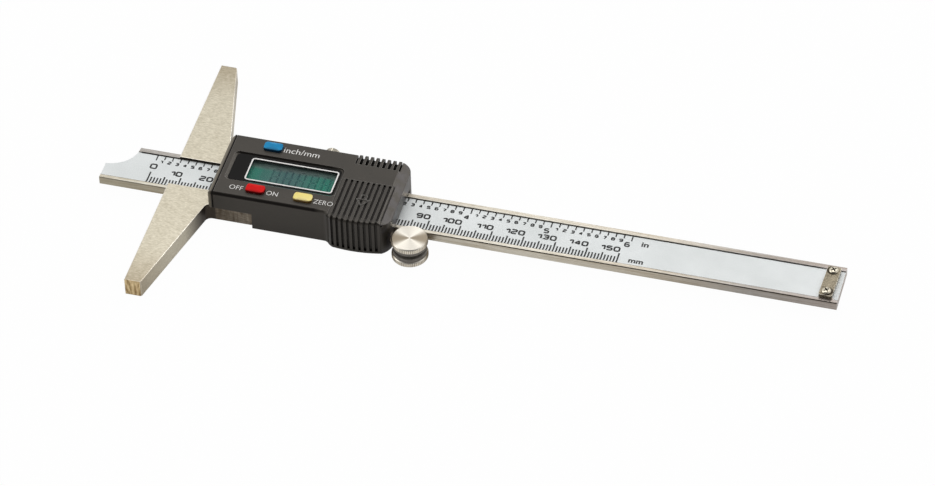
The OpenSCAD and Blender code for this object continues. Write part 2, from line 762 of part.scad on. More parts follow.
// A button cell: a wide can with a narrower cap
module battery() color("#c8c8c6") {
    translate([cell_at[0], cell_at[1], cell_z]) rotate_extrude()
        polygon([[0, 0], [4.6, 0], [4.9, 0.5], [cell_r - 0.3, 0.6], [cell_r, 0.9], [cell_r, cell_h - 0.3],
                 [cell_r - 0.3, cell_h], [0, cell_h]]);
}

// A bent spring strip from the board to the side of the cell
module battery_plus_contact() color("#c9b46a") {
    y = cell_at[1] + cell_r + 0.05;
    foot = [y + 2.9, y + 4.5];
    leaf_z = [4.6, 7];
    box([board_x[1] - 3, foot[0], board_top], [board_x[1] + 0.6, foot[1], board_top + 0.2]);
    box([board_x[1] + 0.4, y, board_top], [board_x[1] + 0.6, foot[1], leaf_z[1]]);
    box([board_x[1] + 0.4, y, leaf_z[0]], [cell_at[0] + 4, y + 0.2, leaf_z[1]]);
}

// A bent spring strip from the board to the cap under the cell
module battery_minus_contact() color("#c9b46a") {
    y = [cell_at[1] - 1.5, cell_at[1] + 1.5];
    low = cell_z - 0.2;
    box([board_x[1] - 2, y[0], board_top], [board_x[1] + 0.4, y[1], board_top + 0.2]);
    box([board_x[1] + 0.2, y[0], low], [board_x[1] + 0.4, y[1], board_top + 0.2]);
    box([board_x[1] + 0.2, y[0], low], [cell_at[0] + 2, y[1], low + 0.2]);
}

// ---- Buttons ----

// A crowned button on a stem, with a foot that keeps it under the roof
module button(at) {
    foot_z = ceiling_z - 0.75;
    crown_r = 4;
    along_z(button_bottom, foot_z) translate(at) circle(1.3);
    along_z(foot_z, ceiling_z - 0.05) translate(at) pane([-4, -1.6], [4, 1.6]);
    intersection() {
        along_z(ceiling_z - 0.1, button_top) button_plan(at, 0);
        translate([at[0] - button_len, at[1], button_top - crown_r]) rotate([0, 90, 0])
            cylinder(r = crown_r, h = 2 * button_len);
        cross_pin(at[0], button_top - 3 * crown_r, at[1] - button_w, at[1] + button_w, 3 * crown_r, $fn = 128);
    }
}

module unit_button() color("#2d8fc4") button(unit_at);

module power_button() color("#e0262a") button(power_at);

module zero_button() color("#f0de78") button(zero_at);

// ---- Battery cover ----

// The part of the housing's form that the cover takes over, top plate and front wall
module cover_form() {
    intersection() {
        housing_form();
        union() {
            box([cover_x[0], -20, cover_z], [cover_x[1], cover_far_y, housing_top]);
            box([cover_x[0], -20, rim_z + cover_gap], [cover_x[1], cover_front_y, housing_top]);
        }
    }
}

// Finger grooves run across the top, over the curved edge and down the front
module cover_grooves() {
    first = (cover_x[0] + cover_x[1] - (groove_count - 1) * groove_pitch) / 2 + 0.1;
    far = cover_far_y - 0.5;
    difference() {
        along_z(rim_z, housing_top + cut) for (i = [0 : groove_count - 1]) {
            x = first + i * groove_pitch;
            pane([x - groove_cut_w / 2, -20], [x + groove_cut_w / 2, far]);
            translate([x, far]) circle(groove_cut_w / 2);
        }
        intersection() {
            rounded_post(bulge_at, bulge_r - groove_front_d, housing_top - groove_top_d);
            along_y(-20, 20) side_profile(groove_top_d);
        }
    }
}

// A ribbed cover that slides out towards the near side
module battery_cover() color("#343230") {
    difference() {
        cover_form();
        cover_grooves();
        shoulder_groove();
    }
    for (x = [[cover_x[0] - 0.5, cover_x[0] + 0.5], [cover_x[1] - 0.5, cover_x[1] + 0.5]])
        box([x[0], -13, cover_z], [x[1], cover_far_y - 0.2, cover_z + 0.35]);
}

// ---- Thumb wheel ----

// One metal disc with a knurled rim and bevelled edges
module wheel_disc(z0, bore_z0, bore_z1) {
    bevel = 0.35;
    translate([wheel_x, wheel_y, 0]) difference() {
        intersection() {
            along_z(z0, z0 + disc_t) knurl_plan(disc_r, knurl_count, 0.15);
            rotate_extrude() polygon([[0, z0], [disc_r - bevel, z0], [disc_r + 0.01, z0 + bevel],
                                      [disc_r + 0.01, z0 + disc_t - bevel], [disc_r - bevel, z0 + disc_t],
                                      [0, z0 + disc_t]]);
        }
        post([0, 0], bore_z0, bore_z1, axle_r);
    }
}

module wheel_upper_disc() color("#e6dcc8")
    wheel_disc(ring_high_z, ring_high_z - cut, ring_high_z + disc_t - 0.25);

module wheel_lower_disc() color("#d8cfba") {
    z0 = ring_low_z - disc_t;
    wheel_disc(z0, z0 - cut, ring_low_z + cut);
}

// Two rubber rings between the discs grip the beam's near edge
module wheel_rings() color("#1b1a19") {
    for (z = [[ring_low_z, tongue_z - 0.05], [tongue_z + tongue_t + 0.05, ring_high_z]])
        translate([wheel_x, wheel_y, 0]) difference() {
            post([0, 0], z[0], z[1], ring_r);
            post([0, 0], z[0] - cut, z[1] + cut, axle_r);
        }
}

module wheel_axle() color("#b9b4a8") {
    post([wheel_x, wheel_y], ring_low_z - disc_t + 0.1, ring_high_z + disc_t - 0.3, axle_r - hair);
}

base();
base_screws();
slider_frame();
gib_strip();
gib_screws();
lock_screw();
housing();
housing_screws();
display_window();
lcd_panel();
zebra_strips();
circuit_board();
processor_cap();
switch_domes();
battery();
battery_plus_contact();
battery_minus_contact();
battery_cover();
unit_button();
power_button();
zero_button();
wheel_upper_disc();
wheel_lower_disc();
wheel_rings();
wheel_axle();
beam();
scale_strip();
scale_label();
stop_plate();
stop_screws();
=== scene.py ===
# A digital depth gauge, dressed for its picture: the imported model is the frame, and this script
# gives it its finishes, its ruled scale, its printed words, the display and the light.
import math

import bmesh
import bpy
from mathutils import Matrix, Vector


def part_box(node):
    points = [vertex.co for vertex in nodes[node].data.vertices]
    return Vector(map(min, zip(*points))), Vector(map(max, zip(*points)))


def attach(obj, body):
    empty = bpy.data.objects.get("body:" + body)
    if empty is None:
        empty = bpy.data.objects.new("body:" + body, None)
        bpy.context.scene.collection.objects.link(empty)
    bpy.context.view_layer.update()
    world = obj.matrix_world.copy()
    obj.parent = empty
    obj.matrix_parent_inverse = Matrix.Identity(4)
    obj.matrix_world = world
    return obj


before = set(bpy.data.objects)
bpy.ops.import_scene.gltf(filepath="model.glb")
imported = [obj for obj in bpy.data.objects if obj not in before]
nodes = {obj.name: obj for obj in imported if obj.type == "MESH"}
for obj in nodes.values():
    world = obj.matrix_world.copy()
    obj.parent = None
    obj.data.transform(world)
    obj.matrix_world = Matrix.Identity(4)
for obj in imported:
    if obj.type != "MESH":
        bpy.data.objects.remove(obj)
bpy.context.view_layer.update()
MM = 0.001  # in metres


# ---- View ----
# The gauge lies on its back and is seen from the near right, well above it, through a long
# lens. The direction, the lens and the distance were fitted to the marks of its own scale.
azimuth, elevation, tilt = math.radians(16.113), math.radians(44.106), math.radians(-1.614)
camera_at = (374.63, -970.59, 972.33)
focal_px, picture_px, sensor_mm = 4563.45, 935, 36

back = Vector((math.sin(azimuth) * math.cos(elevation),
               -math.cos(azimuth) * math.cos(elevation), math.sin(elevation)))
level = Vector((math.cos(azimuth), math.sin(azimuth), 0))
rise = back.cross(level)
right = math.cos(tilt) * level + math.sin(tilt) * rise
up = math.cos(tilt) * rise - math.sin(tilt) * level

lens = bpy.data.cameras.new("view_lens")
lens.sensor_width = sensor_mm
lens.lens = focal_px * sensor_mm / picture_px
lens.clip_start = 0.01
view = bpy.data.objects.new("view", lens)
bpy.context.scene.collection.objects.link(view)
view.matrix_world = Matrix((right, up, back)).transposed().to_4x4()
view.location = Vector(camera_at) * MM
bpy.context.scene.camera = view
bpy.context.scene.view_settings.view_transform = "Standard"


# ---- Floor and light ----
# A pale table top in a white room: a large soft box overhead, one behind to the right that
# lights the tail end of the housing, and weak ones to the left and low in front.
table_half, table_middle, table_z = 3, 0.1, -3.02


def linear(code):
    """An sRGB colour written as six hex digits, in the linear values that a shader takes"""
    parts = [int(code[i:i + 2], 16) / 255 for i in (0, 2, 4)]
    return tuple(p / 12.92 if p <= 0.04045 else ((p + 0.055) / 1.055) ** 2.4
                 for p in parts) + (1,)


def add_node(tree, kind, settings=None, **inputs):
    """Adds a shader node with its settings; an input given as a socket, or as a node for its
    first output, is linked, and any other value is set"""
    node = tree.nodes.new("ShaderNode" + kind)
    for name, value in (settings or {}).items():
        setattr(node, name, value)
    for name, value in inputs.items():
        socket = node.inputs[int(name[1:]) if name[1:].isdigit() else name.replace("_", " ")]
        if isinstance(value, bpy.types.Node):
            value = value.outputs[0]
        if isinstance(value, bpy.types.NodeSocket):
            tree.links.new(value, socket)
        else:
            socket.default_value = value
    return node


def blank_material(name):
    """A material with an empty node tree"""
    material = bpy.data.materials.new(name)
    material.use_nodes = True
    material.node_tree.nodes.clear()
    return material, material.node_tree


table_bm = bmesh.new()
bmesh.ops.create_grid(table_bm, x_segments=2, y_segments=2, size=table_half)
bmesh.ops.translate(table_bm, vec=(table_middle, 0, table_z * MM), verts=table_bm.verts)
table_mesh = bpy.data.meshes.new("table_top")
table_bm.to_mesh(table_mesh)
table_bm.free()
table_top = bpy.data.objects.new("table_top", table_mesh)
bpy.context.scene.collection.objects.link(table_top)

# the table glows almost fully towards the camera, less in the steel's reflections, and lights
# the gauge itself only a little
table_paint, tree = blank_material("white_laminate")
seen = add_node(tree, "LightPath")
laminate = add_node(tree, "BsdfPrincipled", Base_Color=linear("e9e8e6"), Roughness=0.8)
glow = add_node(tree, "Emission", Color=(1, 1, 1, 1), Strength=1.0)
mirrored = add_node(tree, "Math", {"operation": "MULTIPLY_ADD"},
                    _0=seen.outputs["Is Glossy Ray"], _1=0.3, _2=0.15)
share = add_node(tree, "Math", {"operation": "MULTIPLY_ADD"},
                 _0=seen.outputs["Is Camera Ray"], _1=0.83, _2=mirrored)
glowing = add_node(tree, "MixShader", _0=share, _1=laminate, _2=glow)
add_node(tree, "OutputMaterial", Surface=glowing)
table_mesh.materials.append(table_paint)

# the room is white to the camera and darker towards the near side, where it shades the steel
room = bpy.data.worlds.new("white_room")
room.use_nodes = True
bpy.context.scene.world = room
tree = room.node_tree
tree.nodes.clear()
seen = add_node(tree, "LightPath")
straight = add_node(tree, "Math", {"operation": "MAXIMUM"},
                    _0=seen.outputs["Is Camera Ray"], _1=seen.outputs["Is Transmission Ray"])
facing = add_node(tree, "TexCoord")
toward = add_node(tree, "VectorMath", {"operation": "DOT_PRODUCT"},
                  _0=facing.outputs["Generated"], _1=(0.15, -0.78, 0.6))
dark_front = add_node(tree, "MapRange", {"interpolation_type": "SMOOTHSTEP"},
                      Value=toward.outputs["Value"],
                      From_Min=0.45, From_Max=0.97, To_Min=0.9, To_Max=0.1)
soft_light = add_node(tree, "Math", {"operation": "MULTIPLY"}, _0=dark_front, _1=0.55)
glossy = add_node(tree, "Mix", {"data_type": "FLOAT"},
                  _0=seen.outputs["Is Glossy Ray"], _2=soft_light, _3=dark_front)
strength = add_node(tree, "Mix", {"data_type": "FLOAT"}, _0=straight, _2=glossy, _3=1.0)
air = add_node(tree, "Background", Color=(1, 1, 1, 1), Strength=strength)
add_node(tree, "OutputWorld", Surface=air)

# each soft box: its place and its two sides in metres, and its power in watts
aim = Vector((0.07, 0, 0))
for name, place, size, power in (("overhead_box", (-0.05, 0.25, 0.95), (0.9, 0.7), 3.4),
                                 ("right_box", (0.62, 0.8, 0.75), (0.4, 0.4), 2.6),
                                 ("left_box", (-0.9, -0.1, 0.6), (0.5, 0.4), 1.5),
                                 ("front_box", (0.4, -1.3, 0.2), (1.0, 0.25), 0.9)):
    lamp = bpy.data.lights.new(name, "AREA")
    lamp.shape = "RECTANGLE"
    lamp.size, lamp.size_y = size
    lamp.energy = power
    light = bpy.data.objects.new(name, lamp)
    bpy.context.scene.collection.objects.link(light)
    light.location = place
    light.rotation_euler = (aim - light.location).to_track_quat("-Z", "Y").to_euler()


# ---- Base and slider frame ----
# Hardened tool steel, surface-ground: a warm grey satin with fine short lines across it, a
# slightly cloudy tone and a painted highlight along its edges.


def steel(name, light, dark, line_mm, roughness, edge_mm, stretch=(1, 1, 1), cloud=0.3, edge_highlight=0.0):
    """Ground steel: fine lines drawn out along one axis, faint clouds and softly rounded edges with
    a painted highlight
    """
    # real grinding lines are a few hundredths of a millimetre apart, and are drawn coarser to show
    material, tree = blank_material(name)
    place = add_node(tree, "TexCoord").outputs["Object"]
    lines_at = add_node(tree, "Mapping", Vector=place, Scale=stretch)
    lines = add_node(tree, "TexNoise", Vector=lines_at,
                     Scale=1000 / line_mm, Detail=3.0, Roughness=0.6)
    clouds = add_node(tree, "TexNoise", Vector=place, Scale=450.0, Detail=4.0, Roughness=0.6)
    mottle = add_node(tree, "Mix", {"data_type": "FLOAT"}, _0=cloud, _2=lines, _3=clouds)
    tone = add_node(tree, "MapRange", Value=mottle, From_Min=0.35, From_Max=0.65)
    body = add_node(tree, "Mix", {"data_type": "RGBA"}, _0=tone, _6=linear(dark), _7=linear(light))
    soft = add_node(tree, "Bevel", {"samples": 6}, Radius=edge_mm * MM)
    scratch = add_node(tree, "Bump", Height=lines, Strength=0.2, Distance=0.04 * MM, Normal=soft)
    flat = add_node(tree, "NewGeometry")
    turn = add_node(tree, "VectorMath", {"operation": "DOT_PRODUCT"},
                    _0=soft, _1=flat.outputs["True Normal"])
    # painted highlight: the edges are lightened towards a near white
    edge = add_node(tree, "MapRange", Value=turn.outputs["Value"],
                    From_Min=0.997, From_Max=0.93, To_Max=edge_highlight)
    bright = add_node(tree, "Mix", {"data_type": "RGBA"},
                      _0=edge, _6=body.outputs[2], _7=linear("fffaf0"))
    rough = add_node(tree, "MapRange", Value=lines,
                     To_Min=roughness - 0.08, To_Max=roughness + 0.08)
    metal = add_node(tree, "BsdfPrincipled", Base_Color=bright.outputs[2],
                     Metallic=1.0, Roughness=rough, Normal=scratch)
    add_node(tree, "OutputMaterial", Surface=metal)
    return material


def dress(names, material):
    """Gives CAD nodes a finish in place of their plain one"""
    for name in names:
        mesh = nodes[name].data
        mesh.materials.clear()
        mesh.materials.append(material)


def shader_of(material):
    """The shader of a finish"""
    return next(n for n in material.node_tree.nodes if n.type == "BSDF_PRINCIPLED")


def lay_over(material, color, *masks, blend="MIX"):
    """Lays a colour over a finish by the product of some masks, and gives that product"""
    tree, base = material.node_tree, shader_of(material).inputs["Base Color"]
    amount = masks[0]
    for mask in masks[1:]:
        amount = add_node(tree, "Math", {"operation": "MULTIPLY"}, _0=amount, _1=mask)
    laid = add_node(tree, "Mix", {"data_type": "RGBA", "blend_type": blend},
                    _0=amount, _6=base.links[0].from_socket, _7=color)
    tree.links.new(laid.outputs[2], base)
    return amount


base_steel = steel("ground_tool_steel", "d6cfbd", "b2aa96", line_mm=0.36, roughness=0.38,
                   edge_mm=0.4, stretch=(0.4, 1.5, 1.5), cloud=0.2, edge_highlight=1.0)
dress(["base"], base_steel)

# painted shade darkens the slot under the lips' top, and the arms are duller towards their tips
slot_half, lip_top, end_face = 6.6, 2.96, -49.92
tree = base_steel.node_tree
place = add_node(tree, "TexCoord").outputs["Object"]
axes = add_node(tree, "SeparateXYZ", Vector=place).outputs
flat = add_node(tree, "NewGeometry")
facing = add_node(tree, "SeparateXYZ", Vector=flat.outputs["True Normal"]).outputs
side = add_node(tree, "Math", {"operation": "ABSOLUTE"}, _0=axes["Y"])
in_slot = add_node(tree, "Math", {"operation": "LESS_THAN"}, _0=side, _1=slot_half * MM)
under_top = add_node(tree, "Math", {"operation": "LESS_THAN"}, _0=axes["Z"], _1=lip_top * MM)
lay_over(base_steel, linear("2a2420"), in_slot, under_top)
handled = add_node(tree, "MapRange", Value=side, From_Min=34 * MM, From_Max=50 * MM, To_Max=0.75)
lay_over(base_steel, linear("cdc4b8"), handled, blend="MULTIPLY")

# the near tip's end is brown in short strokes, where a wheel cut it off
burn = add_node(tree, "Math", {"operation": "LESS_THAN"}, _0=axes["Y"], _1=end_face * MM)
stroke_at = add_node(tree, "Mapping", Vector=place, Scale=(1.4, 1, 0.35))
scorch = add_node(tree, "TexNoise", Vector=stroke_at, Scale=1000.0, Detail=4.0)
scorch_span = add_node(tree, "MapRange", Value=scorch, From_Min=0.3, From_Max=0.66)
scorch_color = add_node(tree, "Mix", {"data_type": "RGBA"},
                        _0=scorch_span, _6=linear("86683e"), _7=linear("e9d2a4"))
lay_over(base_steel, scorch_color.outputs[2], burn)

# painted shade darkens the upright rear faces towards the corner with the slider
upright = add_node(tree, "Math", {"operation": "LESS_THAN"}, _0=facing["Z"], _1=0.5)
behind = add_node(tree, "Math", {"operation": "GREATER_THAN"}, _0=facing["X"], _1=-0.5)
to_root = add_node(tree, "MapRange", Value=side, From_Min=25 * MM, From_Max=15 * MM, To_Max=0.95)
lay_over(base_steel, linear("332b25"), upright, behind, to_root)

slider_steel = steel("milled_slider_steel", "b4aa9b", "7c7468", line_mm=0.3, roughness=0.42,
                     edge_mm=0.1, stretch=(0.2, 1.6, 1.6))
dress(["slider_frame"], slider_steel)

# upright milling streaks on it, under a shade that deepens towards the base
tree = slider_steel.node_tree
place = add_node(tree, "TexCoord").outputs["Object"]
axes = add_node(tree, "SeparateXYZ", Vector=place).outputs
upright_at = add_node(tree, "Mapping", Vector=place, Scale=(1, 0.1, 0.1))
upright = add_node(tree, "TexNoise", Vector=upright_at, Scale=900.0, Detail=3.0)
band = add_node(tree, "MapRange", Value=upright, From_Min=0.4, From_Max=0.62, To_Max=0.6)
lay_over(slider_steel, linear("a89c8c"), band, blend="MULTIPLY")
shade = add_node(tree, "MapRange", Value=axes["X"],
                 From_Min=14 * MM, From_Max=34 * MM, To_Min=0.85, To_Max=0.0)
lay_over(slider_steel, linear("8c8074"), shade, blend="MULTIPLY")


# ---- Small steel and brass parts inside and behind ----
# Zinc-plated screws hold the base, the housing and the gib. The gib and the contacts are drawn
# brass, the axle and the domes of the switches spring steel, and the battery's can is nickelled.
screw_steel = steel("zinc_plated_steel", "b4afa4", "7f7b72",
                    line_mm=0.2, roughness=0.38, edge_mm=0.05)
dress(["base_screws", "housing_screws", "gib_screws"], screw_steel)
bright_steel = steel("bright_spring_steel", "d0ccc0", "a8a397",
                     line_mm=0.2, roughness=0.3, edge_mm=0.05)
dress(["wheel_axle", "switch_domes"], bright_steel)
gib_brass = steel("drawn_brass", "caa65c", "94743a",
                  line_mm=0.2, roughness=0.36, edge_mm=0.06, stretch=(0.1, 1, 1))
dress(["gib_strip", "battery_plus_contact", "battery_minus_contact"], gib_brass)
can_steel = steel("nickel_plated_can", "d8d8d4", "b4b4b0",
                  line_mm=0.15, roughness=0.28, edge_mm=0.08)
dress(["battery"], can_steel)


# ---- Beam ----
# A hardened steel bar, ground on all sides. Its rails are bright and cream, its near side is
# darker under painted shade, and the groove between the rails holds the label.
beam_steel = steel("ground_beam_steel", "e8e4dc", "cdc9be", line_mm=0.3, roughness=0.3,
                   edge_mm=0.06, stretch=(0.12, 1.8, 1.8))
dress(["beam"], beam_steel)

# it is brightest about the middle and duller towards both ends
beam_tip, beam_tail = -22, 211.5
tree = beam_steel.node_tree
place = add_node(tree, "TexCoord").outputs["Object"]
axes = add_node(tree, "SeparateXYZ", Vector=place).outputs
flat = add_node(tree, "NewGeometry")
facing = add_node(tree, "SeparateXYZ", Vector=flat.outputs["True Normal"]).outputs
along = add_node(tree, "MapRange", Value=axes["X"],
                 From_Min=beam_tip * MM, From_Max=beam_tail * MM)
dulling = add_node(tree, "ValToRGB", Fac=along)
ramp = dulling.color_ramp
ramp.elements[0].color, ramp.elements[1].color = linear("fffff9"), linear("cfc9cc")
for at, tone in ((0.3, "f4f1eb"), (0.6, "fffdf8"), (0.75, "f0ebe4"), (0.88, "cbc9cc")):
    ramp.elements.new(at).color = linear(tone)
lay_over(beam_steel, dulling.outputs[0], 1.0, blend="MULTIPLY")

# long faint streaks run along it
long_way = add_node(tree, "Mapping", Vector=place, Scale=(0.02, 1, 1))
streak = add_node(tree, "TexNoise", Vector=long_way, Scale=1900.0, Detail=2.0)
streaky = add_node(tree, "MapRange", Value=streak, From_Min=0.45, From_Max=0.65, To_Max=0.6)
lay_over(beam_steel, linear("d0c5b4"), streaky, blend="MULTIPLY")

# painted shade makes the near side darker and warmer towards the tip, and the far rail cooler
near_side = add_node(tree, "Math", {"operation": "LESS_THAN"}, _0=facing["Y"], _1=-0.5)
near_tip = add_node(tree, "MapRange", Value=axes["X"],
                    From_Min=100 * MM, From_Max=-10 * MM, To_Min=0.16, To_Max=0.8)
lay_over(beam_steel, linear("bbb3a5"), near_side, near_tip, blend="MULTIPLY")
far_rail = add_node(tree, "Math", {"operation": "GREATER_THAN"}, _0=axes["Y"], _1=0.0)
far_tip = add_node(tree, "MapRange", Value=axes["X"], From_Min=100 * MM, From_Max=-10 * MM)
lay_over(beam_steel, linear("cdccd4"), far_rail, far_tip, blend="MULTIPLY")

# a painted dark reflection runs along the chamfers, stoned to a pale satin at the measuring tip
leaning = add_node(tree, "Math", {"operation": "COMPARE"}, _0=facing["Z"], _1=0.7, _2=0.25)
to_tail = add_node(tree, "MapRange", Value=axes["X"],
                   From_Min=20 * MM, From_Max=100 * MM, To_Min=0.15, To_Max=0.75)
lay_over(beam_steel, linear("3c342c"), leaning, to_tail)
at_tip = add_node(tree, "MapRange", Value=axes["X"], From_Min=20 * MM, From_Max=0.0, To_Max=0.7)
stoned = add_node(tree, "Math", {"operation": "MULTIPLY"}, _0=leaning, _1=at_tip)
shine = add_node(tree, "Math", {"operation": "SUBTRACT"}, _0=1.0, _1=stoned)
tree.links.new(shine.outputs[0], shader_of(beam_steel).inputs["Metallic"])


# ---- Scale strip and label ----
# A copper-clad strip lies in the groove under a thin printed film, silver-grey and satin, with
# a faint fine grain that makes it sparkle a little.
strip_board, tree = blank_material("copper_clad_board")
place = add_node(tree, "TexCoord").outputs["Object"]
pads = add_node(tree, "TexWave", {"wave_type": "BANDS", "bands_direction": "X"},
                Vector=place, Scale=60.0)
pad_edge = add_node(tree, "MapRange", Value=pads.outputs["Fac"], From_Min=0.45, From_Max=0.55)
pad_color = add_node(tree, "Mix", {"data_type": "RGBA"},
                     _0=pad_edge, _6=linear("7b5a2e"), _7=linear("c68a4e"))
strip_shader = add_node(tree, "BsdfPrincipled", Base_Color=pad_color.outputs[2], Roughness=0.5)
add_node(tree, "OutputMaterial", Surface=strip_shader)
dress(["scale_strip"], strip_board)

# the film's real grain is finer than the picture shows, and is drawn at a quarter of a millimetre
label_film, tree = blank_material("printed_silver_film")
place = add_node(tree, "TexCoord").outputs["Object"]
sparkle = add_node(tree, "TexNoise", Vector=place, Scale=4200.0, Detail=2.0)
haze = add_node(tree, "TexNoise", Vector=place, Scale=90.0, Detail=3.0)
grain = add_node(tree, "Mix", {"data_type": "FLOAT"}, _0=0.35, _2=sparkle, _3=haze)
grain_span = add_node(tree, "MapRange", Value=grain, From_Min=0.35, From_Max=0.65)
film_color = add_node(tree, "Mix", {"data_type": "RGBA"},
                      _0=grain_span, _6=linear("d6dad9"), _7=linear("ecefef"))
film_bump = add_node(tree, "Bump", Height=sparkle, Strength=0.1, Distance=0.02 * MM)
film_shader = add_node(tree, "BsdfPrincipled", Base_Color=film_color.outputs[2], Metallic=0.25,
                       Roughness=0.42, Normal=film_bump)
add_node(tree, "OutputMaterial", Surface=film_shader)
dress(["scale_label"], label_film)


# ---- Ruled marks and numbers ----
# Black screen-printed ink on the film: millimetres rise from the near edge with bold wide
# numbers, tenths of an inch hang from the far edge with small ones.
ink_thick = 0.012


def two_toned(name, first, second, grains_per_m, detail=2.0, **sheen):
    """A finish that wanders between two close tones, from grain to grain"""
    material, tree = blank_material(name)
    place = add_node(tree, "TexCoord").outputs["Object"]
    grains = add_node(tree, "TexNoise", Vector=place, Scale=grains_per_m, Detail=detail)
    tone = add_node(tree, "Mix", {"data_type": "RGBA"},
                    _0=grains, _6=linear(first), _7=linear(second))
    shader = add_node(tree, "BsdfPrincipled", Base_Color=tone.outputs[2], **sheen)
    add_node(tree, "OutputMaterial", Surface=shader)
    return material


def printed(name, bm, material, body):
    """Finishes a print from its bmesh: its own object, its ink and the body that it rides on"""
    bmesh.ops.recalc_face_normals(bm, faces=bm.faces)
    mesh = bpy.data.meshes.new(name)
    bm.to_mesh(mesh)
    bm.free()
    piece = bpy.data.objects.new(name, mesh)
    bpy.context.scene.collection.objects.link(piece)
    mesh.materials.append(material)
    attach(piece, body)


def bar(bm, low, high, z):
    """A flat printed bar between two corners, in millimetres"""
    made = bmesh.ops.create_cube(bm, size=1)["verts"]
    size = (high[0] - low[0], high[1] - low[1], ink_thick)
    bmesh.ops.scale(bm, vec=[s * MM for s in size], verts=made)
    middle = ((low[0] + high[0]) / 2, (low[1] + high[1]) / 2, z + ink_thick / 2)
    bmesh.ops.translate(bm, vec=[m * MM for m in middle], verts=made)


def mesh_of(shape):
    """The mesh of a text or curve object, which is then removed"""
    bpy.context.scene.collection.objects.link(shape)
    bpy.context.view_layer.update()
    live = shape.evaluated_get(bpy.context.evaluated_depsgraph_get())
    mesh = bpy.data.meshes.new_from_object(live)
    bpy.data.objects.remove(shape)
    return mesh


def letters(bm, words, low, high, z, weight):
    """Words as flat raised ink that fill the rectangle between two corners, in millimetres"""
    text = bpy.data.curves.new("ink", "FONT")
    text.body = words
    text.offset = weight
    text.extrude = 0.5
    text.resolution_u = 3
    mesh = mesh_of(bpy.data.objects.new("ink", text))
    xs = [v.co.x for v in mesh.vertices]
    ys = [v.co.y for v in mesh.vertices]
    wide = (high[0] - low[0]) / (max(xs) - min(xs))
    tall = (high[1] - low[1]) / (max(ys) - min(ys))
    mesh.transform(Matrix.Translation((-min(xs), -min(ys), 0.5)))
    mesh.transform(Matrix.Diagonal((wide * MM, tall * MM, ink_thick * MM, 1)))
    mesh.transform(Matrix.Translation(Vector((low[0], low[1], z)) * MM))
    bm.from_mesh(mesh)
    bpy.data.meshes.remove(mesh)


# each figure as pen strokes in a square one unit high: its points, and whether the stroke closes;
# the 1 fills only a part of its square
one_left, one_right = 0.13, 0.8
FIGURES = {
    "0": [([(0, 0), (1, 0), (1, 1), (0, 1)], True)],
    "1": [([(one_left, 0.72), (one_right, 1), (one_right, 0)], False)],
    "2": [([(0, 1), (1, 1), (1, 0.56), (0, 0.4), (0, 0), (1, 0)], False)],
    "3": [([(0, 1), (1, 1), (1, 0), (0, 0)], False), ([(0.3, 0.52), (0.95, 0.52)], False)],
    "4": [([(0.8, 0), (0.8, 1), (0, 0.28), (1.05, 0.28)], False)],
    "5": [([(0.98, 1), (0.04, 1), (0, 0.54), (1, 0.54), (1, 0), (0, 0)], False)],
    "6": [([(0.95, 1), (0, 1), (0, 0), (1, 0), (1, 0.54), (0.05, 0.54)], False)],
    "7": [([(0, 1), (1, 1), (0.35, 0)], False)],
    "8": [([(0, 0), (1, 0), (1, 1), (0, 1)], True), ([(0.1, 0.52), (0.9, 0.52)], False)],
    "9": [([(0.05, 0), (1, 0), (1, 1), (0, 1), (0, 0.48), (0.95, 0.48)], False)],
}


def rounded(points, r, closed):
    """A pen stroke's points with its corners rounded"""
    line = []
    for i, corner in enumerate(points):
        corner = Vector((*corner, 0))
        if not closed and i in (0, len(points) - 1):
            line.append(corner)
            continue
        back_to = Vector((*points[i - 1], 0)) - corner
        on_to = Vector((*points[(i + 1) % len(points)], 0)) - corner
        first = corner + back_to.normalized() * min(r, back_to.length / 2)
        last = corner + on_to.normalized() * min(r, on_to.length / 2)
        line += [first.lerp(corner, t).lerp(corner.lerp(last, t), t)
                 for t in (0, 0.25, 0.5, 0.75, 1)]
    return line


def pen_strokes(bm, strokes, pen, z, thick=ink_thick):
    """Strokes of one pen as flat raised ink: each a list of points in millimetres, and whether
    it closes"""
    curve = bpy.data.curves.new("pen", "CURVE")
    curve.dimensions = "2D"
    curve.fill_mode = "NONE"
    curve.bevel_depth = pen / 2
    curve.bevel_resolution = 0
    curve.use_fill_caps = True
    for points, closed in strokes:
        spline = curve.splines.new("POLY")
        spline.points.add(len(points) - 1)
        for point, at in zip(spline.points, points):
            point.co = (at[0], at[1], 0, 1)
        spline.use_cyclic_u = closed
    mesh = mesh_of(bpy.data.objects.new("pen", curve))
    mesh.transform(Matrix.Diagonal((MM, MM, MM * thick / pen, 1)))
    mesh.transform(Matrix.Translation((0, 0, (z + thick / 2) * MM)))
    bm.from_mesh(mesh)
    bpy.data.meshes.remove(mesh)


def number(value, at, tall, wide, gap, pen, align="CENTER"):
    """The strokes of a number whose figures are tall by wide, its right or middle at a point"""
    starts, run = [], 0.0
    for figure in value:
        lead = one_left * wide if figure == "1" else 0.0
        starts.append(run - lead)
        run += (one_right if figure == "1" else 1.0) * wide - lead + gap
    run -= gap
    shift = at[0] - {"RIGHT": run, "CENTER": run / 2}[align]
    strokes = []
    for figure, start in zip(value, starts):
        for points, closed in FIGURES[figure]:
            sized = [(shift + start + pen / 2 + x * (wide - pen),
                      at[1] + pen / 2 + y * (tall - pen)) for x, y in points]
            strokes.append((rounded(sized, 0.22 * tall, closed), closed))
    return strokes


ink = two_toned("black_screen_ink", "0e0e0e", "1c1c1b", 2500.0, Roughness=0.5)

label_low, label_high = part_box("scale_label")
film_z = label_high.z / MM
near_y, far_y = label_low.y / MM, label_high.y / MM
zero_x, inch_step, tenth_step = -7.1, 25.4, 2.54
scale_mm, scale_inches = 150, 6

